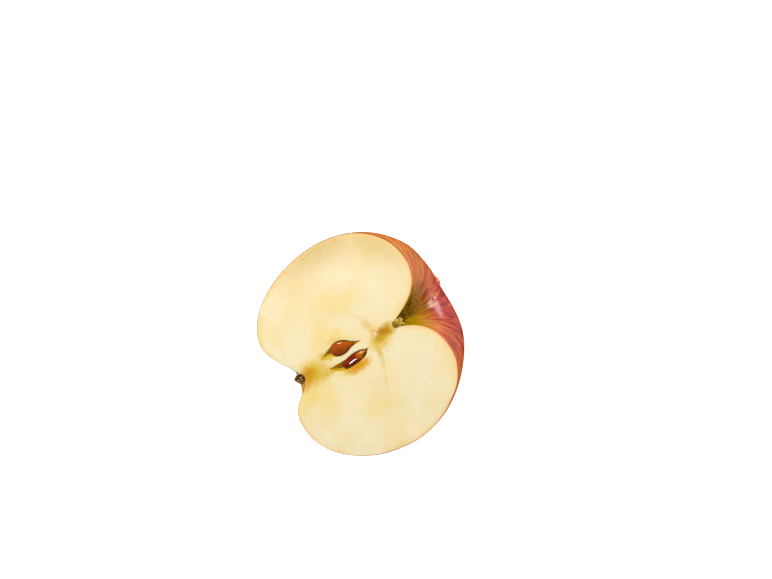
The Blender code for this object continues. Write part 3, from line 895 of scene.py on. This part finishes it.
def new_mesh(name, points, faces):
    """A mesh from an array of points, of any shape with the three axes last, and its faces."""
    mesh = bpy.data.meshes.new(name)
    mesh.from_pydata(points.reshape(-1, 3), [], faces)
    return mesh


def set_map(mesh, name, coordinates):
    """A UV map from one coordinate pair for each point."""
    corners = np.empty(len(mesh.loops), dtype=np.int32)
    mesh.loops.foreach_get("vertex_index", corners)
    layer = mesh.uv_layers.new(name=name)
    layer.uv.foreach_set("vector", coordinates[corners].astype(np.float32).ravel())


def weld(mesh):
    """Merges the points that lie on each other, closes open rims, and turns faces outwards."""
    shape = bmesh.new()
    shape.from_mesh(mesh)
    bmesh.ops.remove_doubles(shape, verts=shape.verts, dist=0.002 * MM)
    bmesh.ops.dissolve_degenerate(shape, edges=shape.edges, dist=0.0005 * MM)
    rim = [edge for edge in shape.edges if edge.is_boundary]
    if rim:
        bmesh.ops.holes_fill(shape, edges=rim, sides=0)
    bmesh.ops.recalc_face_normals(shape, faces=shape.faces)
    shape.to_mesh(mesh)
    shape.free()
    return mesh


def new_piece(name, mesh, materials, sharp=None):
    """Links a mesh as an object with its materials, shaded smooth up to a sharp angle."""
    mesh.shade_smooth()
    if sharp:
        mesh.set_sharp_from_angle(angle=math.radians(sharp))
    piece = bpy.data.objects.new(name, mesh)
    bpy.context.scene.collection.objects.link(piece)
    for material in materials:
        mesh.materials.append(material)
    return piece


def hand_over(piece, node):
    """Makes a piece stand for a node of the frame."""
    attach(piece, "root")
    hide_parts(node)


def chamber_surface(chamber, steps=56, sides=64):
    """An almond round the cut: width and depth follow a skewed sine from tip to tip, shallow at both."""
    base, stem = np.array(chamber.base_tip), np.array(chamber.stem_tip)
    t = np.linspace(0, 1, steps + 1)[:, None]
    fullness = np.clip(np.sin(math.pi * t**CHAMBER_SKEW), 0, 1) ** chamber.sharpness
    turn = np.arange(sides) * math.tau / sides
    x = base[0] + t * (stem[0] - base[0]) + chamber.bow * fullness
    x = x + chamber.half_width * fullness * np.cos(turn)
    y = np.broadcast_to(base[1] + t * (stem[1] - base[1]), x.shape)
    z = CUT_HEIGHT + chamber.depth * fullness**CHAMBER_SHALLOWING * np.sin(turn)
    return np.stack([x, y, z], axis=2)


def seed_surface(seed, swell=0.0, steps=60, sides=56):
    """A flattened teardrop with a blunt end and a point, rolled about its length and laid down.

    Its half width is a power of the distance from each end, and fine furrows run from end to end.
    """
    blunt, point = np.array(seed.blunt_end), np.array(seed.point)
    span = point - blunt
    length = float(np.hypot(*span)) + 2 * swell
    s = (1 - np.cos(np.linspace(0, math.pi, steps + 1)))[:, None] / 2
    slenderness = seed.slenderness - (BED_EASE if swell else 0)
    peak = SEED_BLUNTNESS / (SEED_BLUNTNESS + slenderness)
    most = peak**SEED_BLUNTNESS * (1 - peak) ** slenderness
    fullness = s**SEED_BLUNTNESS * (1 - s) ** slenderness / most
    turn = np.arange(sides) * math.tau / sides
    furrow = 0.0 if swell else 0.012 * np.sin(14 * turn) * fullness
    across = (seed.width / 2 + swell) * fullness * (np.cos(turn) + furrow)
    up = (seed.thickness / 2 + swell) * fullness * (np.sin(turn) + furrow)
    level = (s - 0.5) * length
    lean, roll = math.radians(seed.lean), math.radians(seed.roll)
    along = level * math.cos(lean) + up * math.sin(lean)
    up = up * math.cos(lean) - level * math.sin(lean)
    heading = math.atan2(-span[0], span[1])
    rolled_x = across * math.cos(roll) + up * math.sin(roll)
    rolled_z = up * math.cos(roll) - across * math.sin(roll)
    x = rolled_x * math.cos(heading) - along * math.sin(heading) + (blunt[0] + point[0]) / 2
    y = rolled_x * math.sin(heading) + along * math.cos(heading) + (blunt[1] + point[1]) / 2
    return np.stack([x, y, CUT_HEIGHT - seed.sunk + rolled_z], axis=2)


def pit_surface(centre_x, floor_y, open_y, radius, bowl_depth, sides=48):
    """A round-bottomed pit about a line along Y on the cut plane: a quarter ellipse, then a wall."""
    angle = np.linspace(0, math.pi / 2, 12)
    outward = math.copysign(1, open_y - floor_y)
    reach = np.concatenate([radius * np.sin(angle), [radius, 0]])[:, None]
    level = np.concatenate([floor_y + outward * bowl_depth * (1 - np.cos(angle)), [open_y, open_y]])
    turn = np.arange(sides) * math.tau / sides
    x = centre_x + reach * np.cos(turn)
    y = np.broadcast_to(level[:, None], x.shape)
    return np.stack([x, y, CUT_HEIGHT + reach * np.sin(turn)], axis=2)


def ring_mesh(name, grid):
    """A closed mesh over a grid whose rows are rings."""
    rows, columns, _ = grid.shape
    return weld(new_mesh(name, grid, grid_faces(rows, columns, ring=True)))


class APPLE_OT_body(bpy.types.Operator):
    """Build the cut body: skin side, cut face and the pockets of its core"""

    bl_idname = "apple.body"
    bl_label = "Body"

    def execute(self, context):
        sizes, colours = context.scene.apple_sizes, context.scene.apple_colours
        skin, flesh = skin_finish(colours), flesh_finish(colours)
        parchment = chamber_finish(colours)
        side, azimuth, _ = fruit_side()
        rows, columns, _ = side.shape
        rim = np.concatenate([side[0], side[-1, -2:0:-1]])
        face, depth = cut_face(rim, sizes)
        side[0, :, 2] -= sizes.rim_round
        side[-1, :, 2] -= sizes.rim_round
        faces = np.concatenate(
            [grid_faces(rows, columns), grid_faces(*face.shape[:2], first=rows * columns, ring=True)]
        )
        mesh = new_mesh("apple_body", np.concatenate([side.reshape(-1, 3), face.reshape(-1, 3)]), faces)

        stride = np.linalg.norm(np.diff(side, axis=1), axis=2)
        run = np.concatenate([np.zeros((rows, 1)), np.cumsum(stride, axis=1)], axis=1)
        around = np.broadcast_to(azimuth / math.pi, (rows, columns))
        side_map = np.stack([around, run / run[:, -1:]], axis=2).reshape(-1, 2)
        face_around = np.broadcast_to(np.linspace(0, 1, len(rim)), depth.shape)
        face_map = np.stack([face_around, depth / CUT_MAP_DEPTH], axis=2).reshape(-1, 2)
        set_map(mesh, "skin_map", np.concatenate([side_map, np.zeros_like(face_map)]))
        set_map(mesh, "cut_map", np.concatenate([np.ones_like(side_map), face_map]))
        slots = np.zeros(len(faces), dtype=np.int32)
        slots[(rows - 1) * (columns - 1) :] = 1
        mesh.polygons.foreach_set("material_index", slots)
        body = new_piece("apple_body", weld(mesh), [skin, flesh])
        carve(body, parchment, flesh)
        hand_over(body, "apple_half")
        return {"FINISHED"}


def carve(body, parchment, flesh):
    """Cuts the chambers, the seeds' beds and the two pits, and keeps the result."""
    cutters = bpy.data.collections.new("pockets")
    bpy.context.scene.collection.children.link(cutters)
    pockets = []
    for side, chamber in CHAMBERS.items():
        pockets.append((f"chamber_{side}", chamber_surface(chamber), parchment))
    for side, seed in SEEDS.items():
        pockets.append((f"bed_{side}", seed_surface(seed, SEED_CLEARANCE), parchment))
    calyx_radius, stem_radius = CALYX_RADIUS + PIT_CLEARANCE, STEM_RADIUS + PIT_CLEARANCE
    calyx_floor, stem_floor = CALYX_FLOOR_Y + PIT_CLEARANCE, STEM_FOOT_Y - PIT_CLEARANCE
    calyx_pit = pit_surface(CALYX_X, calyx_floor, CALYX_PIT_END_Y, calyx_radius, calyx_floor - CALYX_RIM_Y)
    stem_pit = pit_surface(STEM_X, stem_floor, STEM_PIT_END_Y, stem_radius, STEM_PIT_BOWL)
    pockets += [("calyx_pit", calyx_pit, flesh), ("stem_pit", stem_pit, flesh)]
    for name, grid, material in pockets:
        cutter = bpy.data.objects.new(name, ring_mesh(name, grid))
        cutter.data.materials.append(material)
        cutters.objects.link(cutter)
    knife = body.modifiers.new("pockets", "BOOLEAN")
    knife.operation = "DIFFERENCE"
    knife.operand_type = "COLLECTION"
    knife.collection = cutters
    knife.solver = "EXACT"
    knife.material_mode = "TRANSFER"
    keep_result(body)
    body.data.set_sharp_from_angle(angle=math.radians(55))
    for cutter in list(cutters.objects):
        bpy.data.objects.remove(cutter)
    bpy.data.collections.remove(cutters)


def keep_result(piece):
    """Swaps a piece's mesh for the one that its modifiers make."""
    graph = bpy.context.evaluated_depsgraph_get()
    mesh = bpy.data.meshes.new_from_object(piece.evaluated_get(graph))
    piece.modifiers.clear()
    piece.data = mesh


# Seeds


SEED_DARK_EDGE = paint(128, 46, 2)
SEED_PATCH = paint(150, 46, 2)
SEED_STREAK = paint(96, 20, 2)
SEED_TIP = paint(178, 104, 4)


def seed_finish(colours):
    """Seed coat: brown or maroon with fine lengthwise streaks, smooth and glossy, paler at its tip."""
    constants = {"Specular IOR Level": 0.0, "Coat IOR": 1.3, "Coat Roughness": 0.08}
    material, root = new_finish("seed_coat", constants)
    place = root.add("ShaderNodeTexCoord", output="Object")
    x, y, _ = place.axes()
    streaks = drawn_along(place, 2300.0, 320.0, roughness=0.6)
    patches = place.noise(420.0, 2.0)
    edge_dark = ((y - x) / MM + streaks * 2.5).step(-3.0, -8.5)
    wider = edge_dark.mixed(colours.seed_brown, SEED_DARK_EDGE)
    narrower = patches.step(0.5, 0.65).mixed(colours.seed_maroon, SEED_PATCH)
    narrow_seed = (x / MM).step(0.4, 1.0)
    colour = narrow_seed.mixed(wider, narrower)
    colour = (streaks.step(0.46, 0.68) * 0.5).mixed(colour, SEED_STREAK)
    tip = (y / MM + streaks * 2.0 - narrow_seed * 0.5).step(-1.6, 1.8)
    colour = (tip * 0.85).mixed(colour, SEED_TIP)
    finish_with(
        material,
        Base_Color=colour,
        Roughness=0.3 + streaks * 0.25,
        Coat_Weight=(narrow_seed * 0.2 + 0.8) * (1.0 - tip * 0.7),
        Normal=bump(streaks + patches * 0.4, 0.04 * MM, 0.6),
    )
    return material


class APPLE_OT_seeds(bpy.types.Operator):
    """Build the two seeds in their chambers"""

    bl_idname = "apple.seeds"
    bl_label = "Seeds"

    def execute(self, context):
        coat = seed_finish(context.scene.apple_colours)
        for side, seed in SEEDS.items():
            name = f"seed_{side}_coat"
            piece = new_piece(name, ring_mesh(name, seed_surface(seed)), [coat])
            hand_over(piece, f"seed_{side}")
        return {"FINISHED"}


# Flower end


CALYX_BROWN = paint(92, 36, 6)
CALYX_FIBRE = paint(190, 160, 60)
CALYX_PAINTED_GLINT = paint(240, 222, 160)


def calyx_finish(colours):
    """Dried flower end: olive leaves, brown within, dull and fibrous, with pale specks painted as glints."""
    material, root = new_finish("dried_flower_end", {"Roughness": 0.72, "Specular IOR Level": 0.15})
    place = root.add("ShaderNodeTexCoord", output="Object")
    _, y, _ = place.axes()
    fibre = drawn_along(place, 2600.0, 500.0)
    brown = (place.noise(900.0, 2.0) + (y / MM + 24.2) * 0.25).step(0.42, 0.6)
    colour = brown.mixed(colours.calyx_olive, CALYX_BROWN)
    colour = (fibre.step(0.55, 0.75) * 0.35).mixed(colour, CALYX_FIBRE)
    # Painted highlights: pale cream specks stand in for glints on the dried flower end.
    colour = place.noise(1300.0, 1.0).step(0.6, 0.66).mixed(colour, CALYX_PAINTED_GLINT)
    finish_with(material, Base_Color=colour, Normal=bump(fibre, 0.12 * MM, 0.8))
    return material


def tube_grid(path, radius, sides):
    """Rings of a given radius across a path that runs mostly along Y."""
    turn = np.arange(sides) * math.tau / sides
    x = path[:, 0:1] + radius[:, None] * np.cos(turn)
    y = np.broadcast_to(path[:, 1:2], x.shape)
    z = path[:, 2:3] + radius[:, None] * np.sin(turn)
    return np.stack([x, y, z], axis=2)


def calyx_cup_grid(steps=14, sides=40):
    """Half a bowl with a wall: an outer quarter ellipse and an inner one, half turned below the cut."""
    angle = np.linspace(0, math.pi / 2, steps)
    depth = CALYX_FLOOR_Y - CALYX_RIM_Y
    outer = np.stack([CALYX_RADIUS * np.sin(angle), CALYX_RIM_Y + depth * np.cos(angle)], axis=1)
    inner_radius, inner_depth = CALYX_RADIUS - CALYX_WALL, depth - CALYX_WALL
    inner = np.stack([inner_radius * np.sin(angle), CALYX_RIM_Y + inner_depth * np.cos(angle)], axis=1)
    profile = np.concatenate([outer, inner[::-1]])
    turn = np.linspace(0, math.pi, sides + 1)[:, None]
    ragged = 0.12 * MM * np.sin(9 * turn) * (profile[:, 1] < CALYX_RIM_Y + 0.6 * MM)
    x = CALYX_X + profile[:, 0] * np.cos(turn)
    z = CUT_HEIGHT - profile[:, 0] * np.sin(turn)
    return np.stack([x, profile[:, 1] + ragged, z], axis=2)


def sepal_grid(sepal, steps=18):
    """A leaf: its half width a quarter cosine, its thin section a ridge, its tip leaning and curled."""
    azimuth = math.radians(sepal.azimuth)
    t = np.linspace(0, 1, steps)[:, None]
    turn = np.arange(16) * math.tau / 16
    side = sepal.width / 2 * np.cos(t * math.pi / 2 * 0.96) ** 0.75 * np.cos(turn)
    thick = 0.16 * MM * (1 - 0.6 * t) * np.sin(turn) + 0.1 * MM * np.cos(2 * turn) * (1 - t)
    away = CALYX_RADIUS - CALYX_WALL / 2 + sepal.lean * t**1.5
    away = away + thick + sepal.curl * np.sin(t * 5.0) * t
    x = CALYX_X + away * math.cos(azimuth) - side * math.sin(azimuth)
    z = CUT_HEIGHT - away * math.sin(azimuth) - side * math.cos(azimuth)
    y = np.broadcast_to(CALYX_RIM_Y + 0.5 * MM - (sepal.length + 0.5 * MM) * t, x.shape)
    return np.stack([x, y, np.minimum(z, CUT_HEIGHT)], axis=2)


def stamen_grid(number):
    """A dry thread from the cup's floor, bent by a slow sine, with a small head."""
    azimuth = math.pi * (number + 0.6) / STAMEN_COUNT
    reach = (0.55 + 0.4 * ((number * 7) % 3) / 2) * MM
    length = (1.9 + 0.5 * ((number * 5) % 4) / 3) * MM
    t = np.linspace(0, 1, 14)
    away = reach * (1 - 0.45 * t) + 0.12 * MM * np.sin(5 * t + number)
    path = np.stack(
        [
            CALYX_X + away * math.cos(azimuth),
            CALYX_FLOOR_Y - 0.3 * MM - length * t,
            CUT_HEIGHT - 0.1 * MM - away * math.sin(azimuth),
        ],
        axis=1,
    )
    radius = (0.085 + 0.09 * np.exp(-(((t - 0.93) / 0.07) ** 2))) * MM
    return tube_grid(path, radius, 10)


def merged(name, parts):
    """One mesh of several, which are then removed."""
    shape = bmesh.new()
    for part in parts:
        shape.from_mesh(part)
        bpy.data.meshes.remove(part)
    mesh = bpy.data.meshes.new(name)
    shape.to_mesh(mesh)
    shape.free()
    return mesh


class APPLE_OT_calyx(bpy.types.Operator):
    """Build the dried flower end"""

    bl_idname = "apple.calyx"
    bl_label = "Flower End"

    def execute(self, context):
        leaves = [sepal_grid(sepal) for sepal in SEPALS]
        threads = [stamen_grid(number) for number in range(STAMEN_COUNT)]
        parts = [ring_mesh("calyx_leaf", grid) for grid in leaves + threads]
        cup = calyx_cup_grid()
        parts.append(weld(new_mesh("calyx_cup", cup, grid_faces(*cup.shape[:2]))))
        mesh = merged("calyx_dried", parts)
        piece = new_piece("calyx_dried", mesh, [calyx_finish(context.scene.apple_colours)], sharp=50)
        hand_over(piece, "calyx")
        return {"FINISHED"}


# Stem foot


STEM_DARK = paint(84, 56, 4)
STEM_PAINTED_GLINT = paint(244, 214, 90)


def stem_finish(colours):
    """Torn stem: olive-straw fibres along its length, dark between, moist, with pale yellow specks painted as
    wet glints.
    """
    constants = {"Roughness": 0.45, "Specular IOR Level": 0.3, "Coat Weight": 0.25}
    material, root = new_finish("torn_stem", constants)
    place = root.add("ShaderNodeTexCoord", output="Object")
    fibre = drawn_along(place, 3200.0, 700.0, detail=4.0)
    colour = fibre.step(0.36, 0.6).mixed(STEM_DARK, colours.stem_olive)
    # Painted highlights: pale yellow specks stand in for glints on the wet torn end.
    colour = place.noise(1400.0, 2.0).step(0.58, 0.66).mixed(colour, STEM_PAINTED_GLINT)
    finish_with(material, Base_Color=colour, Normal=bump(fibre, 0.25 * MM, 1.0))
    return material


def stem_grid(sides=48, steps=26):
    """Half a peg below the cut, its side grooved by sines and its torn top a ragged crown."""
    turn = np.linspace(0, math.pi, sides + 1)[:, None]
    t = np.linspace(0, 1, steps)
    side_y = STEM_FOOT_Y + (STEM_TOP_Y - STEM_FOOT_Y) * t
    side_r = STEM_RADIUS * (1 - 0.35 * (1 - t) ** 5) * (1 + 0.12 * t**2)
    top_r = side_r[-1] * np.linspace(0.9, 0, 9)
    radius = np.concatenate([[0], side_r, top_r])
    level = np.concatenate([[STEM_FOOT_Y], side_y, np.full(9, STEM_TOP_Y)])
    share = radius / STEM_RADIUS
    groove = 0.05 * MM * np.sin(11 * turn) * np.clip(share, 0, 1) + 0.03 * MM * np.sin(23 * turn + level / MM)
    crown = np.clip((level - STEM_TOP_Y + 1.4 * MM) / (1.4 * MM), 0, 1) * np.clip(share, 0, 1)
    ragged = 0.4 * np.sin(3.1 * turn + 0.6) + 0.3 * np.sin(7.3 * turn) + 0.22 * np.sin(17 * turn + 3 * share)
    out = np.where(radius > 0.001 * MM, radius + groove, 0)
    x = STEM_X + out * np.cos(turn)
    y = level + 0.75 * MM * ragged * crown
    return np.stack([x, y, CUT_HEIGHT - out * np.sin(turn)], axis=2)


class APPLE_OT_stem_foot(bpy.types.Operator):
    """Build the torn foot of the stem"""

    bl_idname = "apple.stem_foot"
    bl_label = "Stem Foot"

    def execute(self, context):
        grid = stem_grid()
        mesh = weld(new_mesh("stem_torn", grid, grid_faces(*grid.shape[:2])))
        piece = new_piece("stem_torn", mesh, [stem_finish(context.scene.apple_colours)], sharp=60)
        hand_over(piece, "stem_foot")
        return {"FINISHED"}


# Water

# Where the strewn drops may lie on the skin, in degrees.
STREWN_AZIMUTHS = (8, 172)
STREWN_POLARS = (30, 125)


def water_finish(name, tint):
    """Clear water or juice."""
    constants = {
        "Base Color": opaque(tint),
        "Roughness": 0.02,
        "IOR": 1.333,
        "Transmission Weight": 1.0,
        "Specular IOR Level": 0.5,
    }
    material, _ = new_finish(name, constants)
    return material


def dome_grid(place, out, along, half_length, half_width, height, rings, sides):
    """A flattened egg with its middle a little under the surface, its long axis down the skin."""
    out = out / np.linalg.norm(out)
    along = along - out * (along @ out)
    along = along / np.linalg.norm(along)
    beside = np.cross(out, along)
    angle = np.linspace(0, math.pi, rings + 1)[:, None, None]
    turn = (np.arange(sides) * math.tau / sides)[None, :, None]
    flat = np.sin(angle) * (np.cos(turn) * along * half_length + np.sin(turn) * beside * half_width)
    return place + flat + out * height * (np.cos(angle) - 0.2)


def lay_water(name, grids, material):
    """A piece of closed drops, which no solid of the part stands for."""
    drops = [ring_mesh(f"{name}_part", grid) for grid in grids]
    piece = new_piece(name, merged(name, drops), [material])
    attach(piece, "root")


class APPLE_OT_skin_drops(bpy.types.Operator):
    """Lay water drops on the skin"""

    bl_idname = "apple.skin_drops"
    bl_label = "Skin Drops"

    def execute(self, context):
        sizes = context.scene.apple_sizes
        side, azimuth, polar = fruit_side()
        down = np.gradient(side, axis=1)
        out = np.cross(down, np.gradient(side, axis=0))
        out *= np.sign((out * (side - (0, 0, CUT_HEIGHT))).sum(axis=2))[:, :, None]
        chance = np.random.default_rng(sizes.seed_shuffle)
        drops = list(SHOWN_DROPS)
        for _ in range(sizes.drop_count):
            radius = sizes.drop_radius * chance.uniform(0.35, 1.0)
            wide = radius * chance.uniform(0.8, 1.0)
            azimuth_angle = chance.uniform(*STREWN_AZIMUTHS)
            polar_angle = chance.uniform(*STREWN_POLARS)
            drops.append(Drop(azimuth_angle, polar_angle, radius, wide, radius * 0.5))
        grids = []
        for drop in drops:
            row = np.abs(azimuth[:, 0] - math.radians(drop.azimuth)).argmin()
            spot = (row, np.abs(polar[row] - math.radians(drop.polar)).argmin())
            sizes_here = (drop.half_length, drop.half_width, drop.height)
            grids.append(dome_grid(side[spot], out[spot], down[spot], *sizes_here, rings=14, sides=32))
        lay_water("skin_drops", grids, water_finish("water", (1, 1, 1)))
        return {"FINISHED"}


class APPLE_OT_juice_beads(bpy.types.Operator):
    """Strew beads of juice on the cut"""

    bl_idname = "apple.juice_beads"
    bl_label = "Juice Beads"

    def execute(self, context):
        sizes = context.scene.apple_sizes
        chance = np.random.default_rng(sizes.seed_shuffle + 1)
        grids = []
        for beads in BEAD_CLUSTERS:
            for _ in range(beads.count):
                x, y = chance.normal((beads.x, beads.y), beads.spread / 2)
                radius = sizes.bead_radius * chance.uniform(0.4, 1.0)
                height = CUT_HEIGHT + float(cut_relief(x, y, sizes.cut_relief))
                place, up, along = np.array((x, y, height)), np.array((0, 0, 1.0)), np.array((1.0, 0.4, 0))
                bead_sizes = (radius, radius * 0.85, radius * 0.6)
                grids.append(dome_grid(place, up, along, *bead_sizes, rings=6, sides=12))
        lay_water("juice_beads", grids, water_finish("juice", paint(255, 250, 228)))
        return {"FINISHED"}


# Stage

FLOOR_HALF = 1.5
WHITE = (1.0, 1.0, 1.0)
KEY_WHITE = (1.0, 0.98, 0.95)
SHEEN_WHITE = (1.0, 0.95, 0.97)

# Sides of the square lights, and where they stand from the middle of the cut: the key light by
# the picture's right, up and back, the others by the frame's axes.
KEY_SIZE = 0.14
KEY_SHARES = (-0.62, 0.62, 0.62)
KEY_DISTANCE = 0.62
FILL_SIZE = 0.09
FILL_PLACE = Vector((0.0, 0.42, 0.015))
SHEEN_SIZE = 0.022
SHEEN_PLACE = Vector((-0.004, 0.086, -0.027))
SHEEN_TARGET = Vector((0.0, 0.031, -0.012))
SHINE_SIZE = 0.17
SHINE_PLACE = Vector((0.095, -0.175, 0.465))


def camera_axes(stage):
    """The picture's right and up, and the way back to the camera, in the frame."""
    tilt, roll = stage.camera_tilt, stage.camera_roll
    back = Vector((0, math.sin(tilt), math.cos(tilt)))
    stemward = Vector((0, math.cos(tilt), -math.sin(tilt)))
    sideward = Vector((1, 0, 0))
    right = math.cos(roll) * stemward + math.sin(roll) * sideward
    up = math.sin(roll) * stemward - math.cos(roll) * sideward
    return right, up, back


def soft_light(name, place, target, size, power, colour):
    """A square area light that faces the target."""
    data = bpy.data.lights.new(name, "AREA")
    data.shape = "SQUARE"
    data.size = size
    data.energy = power
    data.color = colour
    light = bpy.data.objects.new(name, data)
    light.location = place
    light.rotation_euler = (Vector(target) - Vector(place)).to_track_quat("-Z", "Y").to_euler()
    bpy.context.scene.collection.objects.link(light)
    return light


def floor_finish():
    """Plain white floor that glows a little, so that its shadows stay pale."""
    constants = {
        "Base Color": (0.93, 0.93, 0.93, 1.0),
        "Roughness": 0.8,
        "Specular IOR Level": 0.1,
        "Emission Color": opaque(WHITE),
        "Emission Strength": 0.85,
    }
    material, _ = new_finish("plain_floor", constants)
    return material


def place_camera(scene, stage, middle):
    """A camera that sees the cut's middle at its place in the picture, from the stage's distance."""
    right, up, back = camera_axes(stage)
    pixel = SENSOR_WIDTH / IMAGE_WIDTH / stage.lens * stage.camera_distance
    offset = right * stage.centre_right * pixel - up * stage.centre_down * pixel
    along = math.sqrt(stage.camera_distance**2 - offset.length**2)
    data = bpy.data.cameras.new("camera")
    data.lens = stage.lens
    data.sensor_width = SENSOR_WIDTH
    data.sensor_fit = "HORIZONTAL"
    camera = bpy.data.objects.new("camera", data)
    turn = Matrix((right, up, back)).transposed().to_4x4()
    camera.matrix_world = Matrix.Translation(middle - offset + back * along) @ turn
    scene.collection.objects.link(camera)
    scene.camera = camera


def place_lights(stage, middle):
    """The key and fill lights, and two that show in gloss alone."""
    shares = zip(KEY_SHARES, camera_axes(stage))
    key = middle + sum((share * axis for share, axis in shares), Vector()) * KEY_DISTANCE
    soft_light("key_light", key, middle, KEY_SIZE, stage.key_power, KEY_WHITE)
    soft_light("skin_light", middle + FILL_PLACE, middle, FILL_SIZE, stage.fill_power, WHITE)
    low, shoulder = middle + SHEEN_PLACE, middle + SHEEN_TARGET
    sheen = soft_light("sheen_light", low, shoulder, SHEEN_SIZE, stage.sheen_power, SHEEN_WHITE)
    shine = soft_light("seed_light", middle + SHINE_PLACE, middle, SHINE_SIZE, stage.shine_power, WHITE)
    mirroring = bpy.data.collections.new("mirrors_seed_light")
    seed = bpy.data.objects.get("seed_right_coat")
    if seed:
        mirroring.objects.link(seed)
    shine.light_linking.receiver_collection = mirroring
    for light in (sheen, shine):
        light.visible_camera = False
        light.visible_diffuse = False


class APPLE_OT_stage(bpy.types.Operator):
    """Set the floor, the lights and the camera"""

    bl_idname = "apple.stage"
    bl_label = "Stage"

    def execute(self, context):
        stage = context.scene.apple_stage
        cut_low, cut_high = (Vector(corner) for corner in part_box("apple_half"))
        middle = (cut_low + cut_high) / 2
        middle.z = CUT_HEIGHT
        place_camera(context.scene, stage, middle)

        half = FLOOR_HALF
        corners = ((-half, -half, 0), (half, -half, 0), (half, half, 0), (-half, half, 0))
        floor = new_piece("floor", new_mesh("floor", np.array(corners), [(0, 1, 2, 3)]), [floor_finish()])
        floor.visible_diffuse = False
        place_lights(stage, middle)

        world = bpy.data.worlds.new("sky")
        world.use_nodes = True
        sky = world.node_tree.nodes["Background"]
        sky.inputs["Color"].default_value = opaque(WHITE)
        sky.inputs["Strength"].default_value = stage.sky
        context.scene.world = world
        context.scene.view_settings.view_transform = "Standard"
        return {"FINISHED"}


class APPLE_PT_panel(bpy.types.Panel):
    """Lists the sizes, the colours and the building steps"""

    bl_idname = "APPLE_PT_panel"
    bl_label = "Apple Half"
    bl_space_type = "VIEW_3D"
    bl_region_type = "UI"
    bl_category = "Apple"

    def draw(self, context):
        for group in (context.scene.apple_sizes, context.scene.apple_colours, context.scene.apple_stage):
            box = self.layout.box()
            for name in group.__annotations__:
                box.prop(group, name)
        for operator in OPERATORS:
            self.layout.operator(operator.bl_idname)


GROUPS = {"apple_sizes": AppleSizes, "apple_colours": AppleColours, "apple_stage": AppleStage}
OPERATORS = (
    APPLE_OT_body,
    APPLE_OT_seeds,
    APPLE_OT_calyx,
    APPLE_OT_stem_foot,
    APPLE_OT_skin_drops,
    APPLE_OT_juice_beads,
    APPLE_OT_stage,
)


def register():
    """Registers the property groups, the operators and the panel."""
    for name, group in GROUPS.items():
        bpy.utils.register_class(group)
        setattr(bpy.types.Scene, name, bpy.props.PointerProperty(type=group))
    for operator in OPERATORS:
        bpy.utils.register_class(operator)
    bpy.utils.register_class(APPLE_PT_panel)


def unregister():
    """Takes back what register made known."""
    bpy.utils.unregister_class(APPLE_PT_panel)
    for operator in reversed(OPERATORS):
        bpy.utils.unregister_class(operator)
    for name, group in GROUPS.items():
        delattr(bpy.types.Scene, name)
        bpy.utils.unregister_class(group)


def main():
    """Builds the pieces and the stage."""
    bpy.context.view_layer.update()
    register()
    bpy.ops.apple.body()
    bpy.ops.apple.seeds()
    bpy.ops.apple.calyx()
    bpy.ops.apple.stem_foot()
    bpy.ops.apple.skin_drops()
    bpy.ops.apple.juice_beads()
    bpy.ops.apple.stage()


if __name__ == "__main__":
    main()
